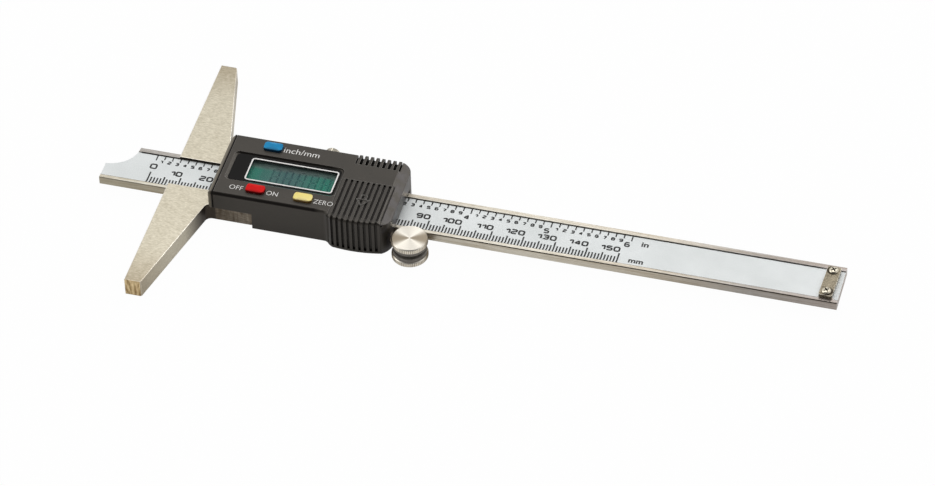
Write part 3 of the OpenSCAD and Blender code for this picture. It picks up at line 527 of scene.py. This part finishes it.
# half the width of a mark on each edge; the lengths of the marks at 0, at tens, at fives and
# between them, and at inches and tenths; and the ends of the lines along both edges
mark_half, tenth_half = 0.25, 0.2
zero_mark, ten_mark, five_mark, one_mark = 4.3, 3.8, 3.05, 2.2
inch_mark, tenth_mark = 2.35, 1.65
line_start, tip_start, line_end = -12.6, -21.6, 204.4
marks = bmesh.new()
for step in range(scale_mm + 1):
    x = zero_x + step
    length = (zero_mark if step == 0 else ten_mark if step % 10 == 0
              else five_mark if step % 5 == 0 else one_mark)
    bar(marks, (x - mark_half, near_y), (x + mark_half, near_y + length), film_z)
for step in range(10 * scale_inches + 1):
    x = zero_x + tenth_step * step
    length = inch_mark if step % 10 == 0 else tenth_mark
    bar(marks, (x - tenth_half, far_y - length), (x + tenth_half, far_y - 0.1), film_z)
bar(marks, (line_start, far_y - 0.2), (line_end, far_y - 0.01), film_z)
bar(marks, (tip_start, near_y + 0.01), (line_end, near_y + 0.14), film_z)
printed("scale_marks", marks, ink, "beam")

# the film laps half a millimetre over the near rail, and the marks with it, and a dark line
# along both of its edges is painted shade where the film meets the rails
rail_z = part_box("beam")[1].z / MM
lap_y, groove_side, near_edge_shade, far_edge_shade = -6.58, 6.05, 0.07, 0.15
plate_low, plate_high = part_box("stop_plate")
film_ends = ((label_low.x / MM, plate_low.x / MM), (plate_high.x / MM, label_high.x / MM))
margin = bmesh.new()
for start, end in film_ends:
    bar(margin, (start, lap_y), (end, -groove_side), rail_z)
printed("label_margin", margin, label_film, "beam")
margin_marks = bmesh.new()
for step in range(scale_mm + 1):
    x = zero_x + step
    bar(margin_marks, (x - mark_half, lap_y), (x + mark_half, -groove_side), rail_z + ink_thick)
printed("margin_marks", margin_marks, ink, "beam")
# painted shade: a dark line along each edge of the film, where it meets the rails
film_edge_shade = bmesh.new()
for start, end in film_ends:
    bar(film_edge_shade, (max(start, line_start), groove_side), (end, groove_side + far_edge_shade), rail_z)
    bar(film_edge_shade, (start, lap_y - near_edge_shade), (end, lap_y), rail_z)
printed("film_edge_shade_line", film_edge_shade, ink, "beam")

bold_pen, small_pen, whole_pen = 0.57, 0.4, 0.52
numbers = bmesh.new()
bold = number("0", (zero_x + 0.1, -0.3), tall=2.4, wide=2.4, gap=0, pen=bold_pen)
for value in range(10, scale_mm + 1, 10):
    bold += number(str(value), (zero_x + value - 0.04, -1.85),
                   tall=2.25, wide=2.15, gap=0.2, pen=bold_pen, align="RIGHT")
pen_strokes(numbers, bold, bold_pen, film_z)
small = []
for tenth in range(1, 10 * scale_inches):
    if tenth % 10:
        small += number(str(tenth % 10), (zero_x + tenth_step * tenth - 0.65, 2.65),
                        tall=1.45, wide=1.3, gap=0, pen=small_pen)
pen_strokes(numbers, small, small_pen, film_z)
whole = []
for inch in range(1, scale_inches + 1):
    whole += number(str(inch), (zero_x + inch_step * inch - 0.95, 0.9),
                    tall=2.2, wide=1.85, gap=0, pen=whole_pen)
pen_strokes(numbers, whole, whole_pen, film_z)
letters(numbers, "in", (148.6, 2.1), (150.9, 4.1), film_z, weight=0.03)
letters(numbers, "mm", (146.3, -5.5), (150.9, -4.0), film_z, weight=0.035)
printed("scale_numbers", numbers, ink, "beam")


# ---- Stop plate and its screws ----
# A small plate stamped from steel, duller than the beam, stops the beam from sliding right out.
# Two bright domed cross-head screws fix it across the rails.
plate_steel = steel("stamped_plate_steel", "aba18c", "544d41",
                    line_mm=0.4, roughness=0.45, edge_mm=0.2, edge_highlight=0.6)
dress(["stop_plate"], plate_steel)
screw_bright = steel("polished_screw_steel", "e4ddcb", "b3aa96",
                     line_mm=0.2, roughness=0.28, edge_mm=0.08)
dress(["stop_screws"], screw_bright)

# the plate is darker in a ring round the two heads; the far one stands a little nearer to the tip
head_radius, head_shift = 1.45 * MM, 0.4 * MM
plate_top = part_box("stop_plate")[1].z
screw_low, screw_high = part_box("stop_screws")
near_head = (screw_high.x - head_radius, screw_low.y + head_radius, 0)
far_head = (screw_high.x - head_radius - head_shift, screw_high.y - head_radius, 0)
tree = plate_steel.node_tree
place = add_node(tree, "TexCoord").outputs["Object"]
level_at = add_node(tree, "VectorMath", {"operation": "MULTIPLY"}, _0=place, _1=(1, 1, 0))
away = [add_node(tree, "VectorMath", {"operation": "DISTANCE"}, _0=level_at, _1=head)
        for head in (near_head, far_head)]
nearest = add_node(tree, "Math", {"operation": "MINIMUM"},
                   _0=away[0].outputs["Value"], _1=away[1].outputs["Value"])
ring = add_node(tree, "MapRange", Value=nearest,
                From_Min=1.9 * MM, From_Max=1.5 * MM, To_Max=0.9)
lay_over(plate_steel, linear("2e2820"), ring)

# and the screws are dark in their cross recesses: on their steep walls and on their floor
recess_rim, recess_depth = plate_top + 0.32 * MM, plate_top + 0.2 * MM
tree = screw_bright.node_tree
place = add_node(tree, "TexCoord").outputs["Object"]
axes = add_node(tree, "SeparateXYZ", Vector=place).outputs
flat = add_node(tree, "NewGeometry")
facing = add_node(tree, "SeparateXYZ", Vector=flat.outputs["True Normal"]).outputs
steep = add_node(tree, "Math", {"operation": "LESS_THAN"}, _0=facing["Z"], _1=0.3)
above_rim = add_node(tree, "Math", {"operation": "GREATER_THAN"}, _0=axes["Z"], _1=recess_rim)
recess_wall = add_node(tree, "Math", {"operation": "MULTIPLY"}, _0=steep, _1=above_rim)
recess_floor = add_node(tree, "Math", {"operation": "COMPARE"},
                        _0=axes["Z"], _1=recess_depth, _2=0.02 * MM)
recess = add_node(tree, "Math", {"operation": "MAXIMUM"}, _0=recess_wall, _1=recess_floor)
lay_over(screw_bright, linear("241c14"), recess)


# ---- Housing and battery cover ----
# Moulded ABS, black-brown, with the fine grain of a spark-eroded mould on every face and a
# painted highlight on its upper edges.
front_x, top_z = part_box("housing")[0].x / MM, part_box("housing")[1].z / MM


def moulded(name, light, dark, roughness, edge_mm):
    """Grained moulded plastic, with a painted highlight on its upper edges"""
    # the real grain of the mould is finer, and is drawn at 0.3 mm to show
    material, tree = blank_material(name)
    place = add_node(tree, "TexCoord").outputs["Object"]
    grit = add_node(tree, "TexNoise", Vector=place, Scale=3200.0, Detail=3.0, Roughness=0.6)
    flow = add_node(tree, "TexNoise", Vector=place, Scale=110.0, Detail=3.0)
    mixed = add_node(tree, "Mix", {"data_type": "FLOAT"}, _0=0.5, _2=grit, _3=flow)
    tone = add_node(tree, "MapRange", Value=mixed, From_Min=0.35, From_Max=0.65)
    body = add_node(tree, "Mix", {"data_type": "RGBA"}, _0=tone, _6=linear(dark), _7=linear(light))
    soft = add_node(tree, "Bevel", {"samples": 6}, Radius=edge_mm * MM)
    flat = add_node(tree, "NewGeometry")
    turn = add_node(tree, "VectorMath", {"operation": "DOT_PRODUCT"},
                    _0=soft, _1=flat.outputs["True Normal"])
    # painted highlight: edges near the top of the housing are lightened
    edge = add_node(tree, "MapRange", Value=turn.outputs["Value"], From_Min=0.99, From_Max=0.8)
    axes = add_node(tree, "SeparateXYZ", Vector=place)
    at_top = add_node(tree, "MapRange", Value=axes.outputs["Z"],
                      From_Min=(top_z - 0.2) * MM, From_Max=(top_z - 0.05) * MM)
    top_edge_highlight = add_node(tree, "Math", {"operation": "MULTIPLY"}, _0=edge, _1=at_top)
    edge_highlight = add_node(tree, "Mix", {"data_type": "RGBA"},
                      _0=top_edge_highlight, _6=body.outputs[2], _7=linear("93908c"))
    grained = add_node(tree, "Bump", Height=grit, Strength=0.22, Distance=0.05 * MM, Normal=soft)
    rough = add_node(tree, "MapRange", Value=flow,
                     To_Min=roughness - 0.06, To_Max=roughness + 0.06)
    plastic = add_node(tree, "BsdfPrincipled", Base_Color=edge_highlight.outputs[2], Roughness=rough,
                       Specular_IOR_Level=0.55, Specular_Tint=linear("fff6e9"), Normal=grained)
    add_node(tree, "OutputMaterial", Surface=plastic)
    return material


def within(tree, value, low, high, soft=0.08):
    """1 where a length in millimetres lies between two limits and 0 outside, with soft ends"""
    up_from = add_node(tree, "MapRange", Value=value,
                       From_Min=(low - soft) * MM, From_Max=(low + soft) * MM)
    down_to = add_node(tree, "MapRange", Value=value,
                       From_Min=(high + soft) * MM, From_Max=(high - soft) * MM)
    return add_node(tree, "Math", {"operation": "MULTIPLY"}, _0=up_from, _1=down_to)


def dulled_by(material, amount, level):
    """Turns the sheen of a finish down to a level where a mask is 1"""
    tree, sheen = material.node_tree, shader_of(material).inputs["Specular IOR Level"]
    before = sheen.links[0].from_socket if sheen.links else sheen.default_value
    turned_down = add_node(tree, "Mix", {"data_type": "FLOAT"}, _0=amount, _2=before, _3=level)
    tree.links.new(turned_down.outputs[0], sheen)


housing_abs = moulded("grained_black_abs", "2b2723", "1d1b18", roughness=0.4, edge_mm=0.25)
dress(["housing"], housing_abs)

# a painted highlight lightens the front frame to a brown, and painted shade darkens its fine groove
tree = housing_abs.node_tree
place = add_node(tree, "TexCoord").outputs["Object"]
axes = add_node(tree, "SeparateXYZ", Vector=place).outputs
flat = add_node(tree, "NewGeometry")
facing = add_node(tree, "SeparateXYZ", Vector=flat.outputs["True Normal"]).outputs
not_end = add_node(tree, "Math", {"operation": "GREATER_THAN"}, _0=facing["X"], _1=-0.7)
lay_over(housing_abs, linear("8a8272"),
         within(tree, axes["X"], front_x - 1, front_x + 0.95, 0.25), 0.65, not_end)
fine_groove = lay_over(housing_abs, linear("0c0b0a"),
                       within(tree, axes["X"], front_x + 1.25, front_x + 1.6))
dulled_by(housing_abs, fine_groove, 0.05)

# the straight near edge has a painted dark reflection under it
leaning = add_node(tree, "MapRange", Value=facing["Y"], From_Min=-0.1, From_Max=-0.35)
rising = add_node(tree, "Math", {"operation": "GREATER_THAN"}, _0=facing["Z"], _1=0.15)
edge_shade = lay_over(housing_abs, linear("12100f"), leaning, rising, 0.9,
                      within(tree, axes["X"], front_x + 1, 50.5, 1.0),
                      within(tree, axes["Z"], top_z - 1.2, top_z + 1))
dulled_by(housing_abs, edge_shade, 0.1)

# the sloped end has painted bluish reflections in patches, and painted shade between the grip ribs
bevel_side = add_node(tree, "MapRange", Value=facing["X"],
                      From_Min=0.25, From_Max=0.4, To_Max=0.5)
patches = add_node(tree, "TexNoise", Vector=place, Scale=260.0, Detail=4.0)
patchy = add_node(tree, "MapRange", Value=patches, From_Min=0.42, From_Max=0.62)
lay_over(housing_abs, linear("4e4d58"), bevel_side, patchy, within(tree, axes["X"], 68, 90))
between_ribs = lay_over(housing_abs, linear("0b0a09"), within(tree, axes["X"], 56.1, 70.6),
                        within(tree, axes["Y"], 9.2, 30),
                        within(tree, axes["Z"], top_z - 1.5, top_z - 0.2))
dulled_by(housing_abs, between_ribs, 0.1)

cover_abs = moulded("grained_cover_abs", "2e2a27", "1f1d1b", roughness=0.38, edge_mm=0.15)
dress(["battery_cover"], cover_abs)

# painted shade darkens the cover's finger grooves, and in a wave the foot of each rib
cover_low, cover_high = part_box("battery_cover")
groove_pitch = 1.74
first_groove = (cover_low.x + cover_high.x) / MM / 2 - 4 * groove_pitch + 0.1
tree = cover_abs.node_tree
place = add_node(tree, "TexCoord").outputs["Object"]
axes = add_node(tree, "SeparateXYZ", Vector=place).outputs
groove_shade = lay_over(cover_abs, linear("100e0d"), within(tree, axes["Z"], -10, top_z - 0.22),
                       within(tree, axes["Y"], -13.2, 30))
dulled_by(cover_abs, groove_shade, 0.1)
turns = add_node(tree, "Math", {"operation": "MULTIPLY_ADD"}, _0=axes["X"],
                 _1=2 * math.pi / (groove_pitch * MM),
                 _2=-2 * math.pi * first_groove / groove_pitch)
wave = add_node(tree, "Math", {"operation": "COSINE"}, _0=turns)
foot = add_node(tree, "MapRange", Value=wave, From_Min=-0.5, From_Max=0.6, To_Max=0.65)
foot_shade = lay_over(cover_abs, linear("100e0d"), foot,
                      within(tree, axes["Y"], -30, 6.0, 0.3))
dulled_by(cover_abs, foot_shade, 0.2)


# ---- Arrow on the battery cover ----
# A plain arrow, moulded in one with the cover and raised over its finger grooves, points the
# way that the cover slides.
arrow_pen, arrow_height, arrow_sunk = 0.46, 0.16, 0.02
arrow_head = [(61.0, -5.6), (64.9, -5.6), (62.95, -8.3)]
arrow_shaft = [(62.1, -5.6), (62.1, -3.6), (63.8, -3.6), (63.8, -5.6)]
cover_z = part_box("battery_cover")[1].z / MM
arrow = bmesh.new()
pen_strokes(arrow, [(rounded(arrow_head, 0.25, True), True),
                    (rounded(arrow_shaft, 0.2, False), False)],
            arrow_pen, cover_z - arrow_sunk, arrow_height)
# the arrow's plastic is darker than the cover's, as painted shade along its raised strokes
arrow_abs = moulded("smooth_arrow_abs", "1b1917", "100f0e", roughness=0.3, edge_mm=0.05)
printed("cover_arrow", arrow, arrow_abs, "battery_cover")


# ---- Words on the housing ----
# White letters, pad-printed on the housing beside each button, a little wider than they are
# tall.
white_ink = two_toned("white_pad_ink", "ece9e5", "fffefc", 1800.0, Roughness=0.5)
words = bmesh.new()
letters(words, "inch/mm", (33.1, 9.05), (44.5, 11.35), top_z, weight=-0.005)
letters(words, "OFF", (21.35, -10.5), (25.65, -8.65), top_z, weight=-0.012)
letters(words, "ON", (33.25, -10.55), (36.85, -8.7), top_z, weight=-0.012)
letters(words, "ZERO", (48.4, -10.75), (54.5, -8.9), top_z, weight=-0.012)
printed("button_words", words, white_ink, "slider")


# ---- Display ----
# A blank reflective display lies under a clear acrylic pane. The pane is printed glossy black
# round its middle, with a thin white line that frames the clear part.
lcd_glass, tree = blank_material("blank_lcd")
place = add_node(tree, "TexCoord").outputs["Object"]
axes = add_node(tree, "SeparateXYZ", Vector=place).outputs

# greyer in a wavy patch about its middle, with slanting streaks
display_middle = 36.5
from_middle = add_node(tree, "Math", {"operation": "SUBTRACT"},
                       _0=axes["X"], _1=display_middle * MM)
distance = add_node(tree, "Math", {"operation": "ABSOLUTE"}, _0=from_middle)
wobble = add_node(tree, "TexNoise", Vector=place, Scale=160.0, Detail=2.0)
wavy = add_node(tree, "Math", {"operation": "MULTIPLY_ADD"},
                _0=wobble, _1=4 * MM, _2=distance)
ends = add_node(tree, "MapRange", Value=wavy, From_Min=5 * MM, From_Max=14 * MM)
lcd_base = add_node(tree, "Mix", {"data_type": "RGBA"},
                    _0=ends, _6=linear("66948f"), _7=linear("3fae92"))
streaks_at = add_node(tree, "Mapping", Vector=place, Scale=(1, 0.12, 1), Rotation=(0, 0, 0.12))
streaks = add_node(tree, "TexNoise", Vector=streaks_at, Scale=700.0, Detail=1.0)
streak_span = add_node(tree, "MapRange", Value=streaks, From_Min=0.4, From_Max=0.6, To_Max=0.35)
lcd_color = add_node(tree, "Mix", {"data_type": "RGBA"},
                     _0=streak_span, _6=lcd_base.outputs[2], _7=linear("527e80"))

# and in the shade of its frame along the far side
drift = add_node(tree, "Math", {"operation": "MULTIPLY_ADD"},
                 _0=wobble, _1=1 * MM, _2=axes["Y"])
shadow = add_node(tree, "MapRange", {"interpolation_type": "SMOOTHSTEP"}, Value=drift,
                  From_Min=2.2 * MM, From_Max=4.2 * MM, To_Max=0.8)
shaded_lcd = add_node(tree, "Mix", {"data_type": "RGBA"},
                      _0=shadow, _6=lcd_color.outputs[2], _7=linear("818d89"))
lcd_shader = add_node(tree, "BsdfPrincipled", Base_Color=shaded_lcd.outputs[2], Roughness=0.35,
                      Specular_IOR_Level=0.2)
add_node(tree, "OutputMaterial", Surface=lcd_shader)
dress(["lcd_panel"], lcd_glass)

# its digits are off, but their segments still show as faint bluish bars
ghost = two_toned("unlit_segments", "2f5272", "54728c", 700.0,
                  Roughness=0.5, Specular_IOR_Level=0.1, Alpha=0.1)
first_digit, digit_step, digit_wide = 32.05, 4.1, 2.05
segments = bmesh.new()
segment_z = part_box("lcd_panel")[1].z / MM + 0.01
for digit in range(5):
    x = first_digit + digit_step * digit
    for reach in (0, digit_wide):
        for low, high in ((-3.4, -0.35), (0.0, 3.0)):
            bar(segments, (x + reach - 0.3, low), (x + reach + 0.3, high), segment_z)
    for y in (-3.6, -0.18, 3.2):
        bar(segments, (x + 0.4, y - 0.2), (x + 1.65, y + 0.2), segment_z)
printed("unlit_segments", segments, ghost, "slider")

clear_acrylic, tree = blank_material("clear_acrylic")
clear_shader = add_node(tree, "BsdfPrincipled", Base_Color=linear("24322f"), Roughness=0.06,
                        Specular_IOR_Level=0.2, Alpha=0.15)
add_node(tree, "OutputMaterial", Surface=clear_shader)
dress(["display_window"], clear_acrylic)


def rounded_ring(bm, outer, inner, z, thick=0.01, parts=6):
    """A flat printed ring between two rounded rectangles, each given by its two corners and the
    radius of its rounding, in millimetres"""
    loops = []
    for (x0, y0), (x1, y1), r in (outer, inner):
        turns = ((x1 - r, y1 - r, 0), (x0 + r, y1 - r, 90),
                 (x0 + r, y0 + r, 180), (x1 - r, y0 + r, 270))
        verts = []
        for cx, cy, start in turns:
            for part in range(parts + 1):
                angle = math.radians(start + 90 * part / parts)
                at = Vector((cx + r * math.cos(angle), cy + r * math.sin(angle), z))
                verts.append(bm.verts.new(at * MM))
        loops.append([bm.edges.new((vert, verts[(i + 1) % len(verts)]))
                      for i, vert in enumerate(verts)])
    made = bmesh.ops.bridge_loops(bm, edges=loops[0] + loops[1])["faces"]
    grown = bmesh.ops.extrude_face_region(bm, geom=made)["geom"]
    bmesh.ops.translate(bm, vec=(0, 0, thick * MM),
                        verts=[v for v in grown if isinstance(v, bmesh.types.BMVert)])


gloss_black, tree = blank_material("gloss_black_print")
place = add_node(tree, "TexCoord").outputs["Object"]
ripple = add_node(tree, "TexNoise", Vector=place, Scale=60.0, Detail=1.0)
black_color = add_node(tree, "Mix", {"data_type": "RGBA"},
                       _0=ripple, _6=linear("0e0d0c"), _7=linear("171514"))
ripple_bump = add_node(tree, "Bump", Height=ripple, Strength=0.05, Distance=0.1 * MM)
black_shader = add_node(tree, "BsdfPrincipled", Base_Color=black_color.outputs[2],
                        Roughness=0.12, Specular_IOR_Level=0.12, Normal=ripple_bump)
add_node(tree, "OutputMaterial", Surface=black_shader)

pane_low, pane_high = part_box("display_window")
pane_z, pane_inset = pane_high.z / MM, 0.02
clear_part = ((24.95, -4.5), (52.15, 4.5), 0.5)
whole_pane = ((pane_low.x / MM + pane_inset, pane_low.y / MM + pane_inset),
              (pane_high.x / MM - pane_inset, pane_high.y / MM - pane_inset), 1.3)
white_line = ((24.5, -4.95), (52.6, 4.95), 0.95)
surround = bmesh.new()
rounded_ring(surround, whole_pane, clear_part, pane_z)
printed("window_print", surround, gloss_black, "slider")
line = bmesh.new()
rounded_ring(line, white_line, clear_part, pane_z + 0.01)
printed("window_line", line, white_ink, "slider")


# ---- Electronics ----
# The board and its parts are seen only through gaps: green solder mask, black resin, and rubber
# in stripes.
solder_mask, tree = blank_material("green_solder_mask")
place = add_node(tree, "TexCoord").outputs["Object"]
weave = add_node(tree, "TexBrick", Vector=place, Scale=900.0,
                 Color1=linear("2c6b3c"), Color2=linear("2a6338"), Mortar=linear("235230"))
mask_shader = add_node(tree, "BsdfPrincipled", Base_Color=weave, Roughness=0.3)
add_node(tree, "OutputMaterial", Surface=mask_shader)
dress(["circuit_board"], solder_mask)

resin = two_toned("black_epoxy_resin", "101010", "1c1c1c", 400.0, Roughness=0.2)
dress(["processor_cap"], resin)

zebra, tree = blank_material("striped_contact_rubber")
place = add_node(tree, "TexCoord").outputs["Object"]
stripes = add_node(tree, "TexWave", {"wave_type": "BANDS", "bands_direction": "X"},
                   Vector=place, Scale=900.0)
zebra_color = add_node(tree, "Mix", {"data_type": "RGBA"},
                       _0=stripes.outputs["Fac"], _6=linear("202020"), _7=linear("e0dcd4"))
zebra_shader = add_node(tree, "BsdfPrincipled", Base_Color=zebra_color.outputs[2], Roughness=0.7)
add_node(tree, "OutputMaterial", Surface=zebra_shader)
dress(["zebra_strips"], zebra)


# ---- Buttons ----
# Soft-gloss coloured plastic caps with a crowned top, blue, red and yellow. Each is darker on
# the side away from the light.
cap_edge, shaded_way = 0.6, (0.25, -0.85, -0.3)
for name, light, dark, side, gloss in (("unit_button", "1c9ad0", "127eb4", "0a3450", 0.15),
                                       ("power_button", "f02020", "d01414", "5a0c0a", 0.07),
                                       ("zero_button", "fff08c", "fbe274", "6a4c08", 0.9)):
    cap, tree = blank_material(name + "_plastic")
    place = add_node(tree, "TexCoord").outputs["Object"]
    cloud = add_node(tree, "TexNoise", Vector=place, Scale=500.0, Detail=2.0)
    cap_color = add_node(tree, "Mix", {"data_type": "RGBA"},
                         _0=cloud, _6=linear(dark), _7=linear(light))
    round_edge = add_node(tree, "Bevel", {"samples": 8}, Radius=cap_edge * MM)
    away = add_node(tree, "VectorMath", {"operation": "DOT_PRODUCT"},
                    _0=round_edge, _1=shaded_way)
    upward = add_node(tree, "MapRange", Value=away.outputs["Value"],
                      From_Min=0.4, From_Max=-0.12)
    shaded_cap = add_node(tree, "Mix", {"data_type": "RGBA"},
                          _0=upward, _6=linear(side), _7=cap_color.outputs[2])
    cap_shader = add_node(tree, "BsdfPrincipled", Base_Color=shaded_cap.outputs[2],
                          Roughness=0.36, Specular_IOR_Level=gloss, Normal=round_edge)
    add_node(tree, "OutputMaterial", Surface=cap_shader)
    dress([name], cap)


# ---- Thumb wheel ----
# Two knurled steel discs turned on a lathe, with fine rings round the centre and the dark
# wedges of a turned face painted on as reflection. Rubber rings sit between them.
wheel_low, wheel_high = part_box("wheel_upper_disc")
wheel_at = (wheel_low + wheel_high) / 2
rim_radius = wheel_high.x - wheel_at.x
knurl_teeth, knurl_from, wedge_way = 72.0, 0.985, (0.97, 0.24, 0)

# the rings of the real cut are finer, and are drawn 0.17 mm apart to show
turned, tree = blank_material("turned_steel")
place = add_node(tree, "TexCoord").outputs["Object"]
centred = add_node(tree, "VectorMath", {"operation": "SUBTRACT"},
                   _0=place, _1=(wheel_at.x, wheel_at.y, 0))
flat_at = add_node(tree, "VectorMath", {"operation": "MULTIPLY"}, _0=centred, _1=(1, 1, 0))
radius = add_node(tree, "VectorMath", {"operation": "LENGTH"}, _0=flat_at)
rings_at = add_node(tree, "CombineXYZ", X=radius.outputs["Value"])
rings = add_node(tree, "TexNoise", Vector=rings_at, Scale=6000.0, Detail=2.0)
ring_bump = add_node(tree, "Bump", Height=rings, Strength=0.25, Distance=0.03 * MM)
ring_tone = add_node(tree, "Mix", {"data_type": "RGBA"},
                     _0=rings, _6=linear("dbd4c6"), _7=linear("fdf8ee"))

# the dark wedges as painted reflection, and the grooves of the knurl round the darker rim
outward = add_node(tree, "VectorMath", {"operation": "NORMALIZE"}, _0=flat_at)
sideways = add_node(tree, "VectorMath", {"operation": "DOT_PRODUCT"}, _0=outward, _1=wedge_way)
wedge = add_node(tree, "Math", {"operation": "ABSOLUTE"}, _0=sideways.outputs["Value"])
wedge_shade = add_node(tree, "MapRange", {"interpolation_type": "SMOOTHSTEP"}, Value=wedge,
                       From_Min=0.68, From_Max=1.0, To_Max=0.9)
turned_tone = add_node(tree, "Mix", {"data_type": "RGBA", "blend_type": "MULTIPLY"},
                       _0=wedge_shade, _6=ring_tone.outputs[2], _7=linear("877d6e"))
angle_of = add_node(tree, "SeparateXYZ", Vector=centred).outputs
angle = add_node(tree, "Math", {"operation": "ARCTAN2"}, _0=angle_of["Y"], _1=angle_of["X"])
teeth = add_node(tree, "Math", {"operation": "MULTIPLY"}, _0=angle, _1=knurl_teeth)
tooth = add_node(tree, "Math", {"operation": "SINE"}, _0=teeth)
at_rim = add_node(tree, "Math", {"operation": "GREATER_THAN"},
                  _0=radius.outputs["Value"], _1=rim_radius * knurl_from)
knurl = add_node(tree, "Math", {"operation": "MULTIPLY"}, _0=tooth, _1=at_rim)
cut_deep = add_node(tree, "MapRange", Value=knurl, From_Min=0.0, From_Max=-1.0, To_Max=0.7)
knurled = add_node(tree, "Mix", {"data_type": "RGBA", "blend_type": "MULTIPLY"},
                   _0=cut_deep, _6=turned_tone.outputs[2], _7=linear("78736a"))
rim_tone = add_node(tree, "Mix", {"data_type": "RGBA", "blend_type": "MULTIPLY"},
                    _0=at_rim, _6=knurled.outputs[2], _7=linear("dcd6cc"))

# the lathe's rings stretch its highlights across them
around = add_node(tree, "VectorMath", {"operation": "CROSS_PRODUCT"},
                  _0=flat_at, _1=(0, 0, 1))
wheel_shader = add_node(tree, "BsdfPrincipled", Base_Color=rim_tone.outputs[2], Metallic=1.0,
                        Roughness=0.3, Anisotropic=0.8, Normal=ring_bump, Tangent=around)
add_node(tree, "OutputMaterial", Surface=wheel_shader)
dress(["wheel_upper_disc", "wheel_lower_disc"], turned)

ring_rubber = two_toned("nitrile_rubber", "5f5b55", "928c85", 900.0, detail=4.0, Roughness=0.65)
dress(["wheel_rings"], ring_rubber)


# ---- Lock screw ----
# A turned steel screw that locks the beam where it stands. Its slim head, on the far side, is
# finely knurled and bright on its crests.
lock_steel = steel("knurled_lock_steel", "b9b3a6", "7d776b",
                   line_mm=0.2, roughness=0.34, edge_mm=0.06)
dress(["lock_screw"], lock_steel)
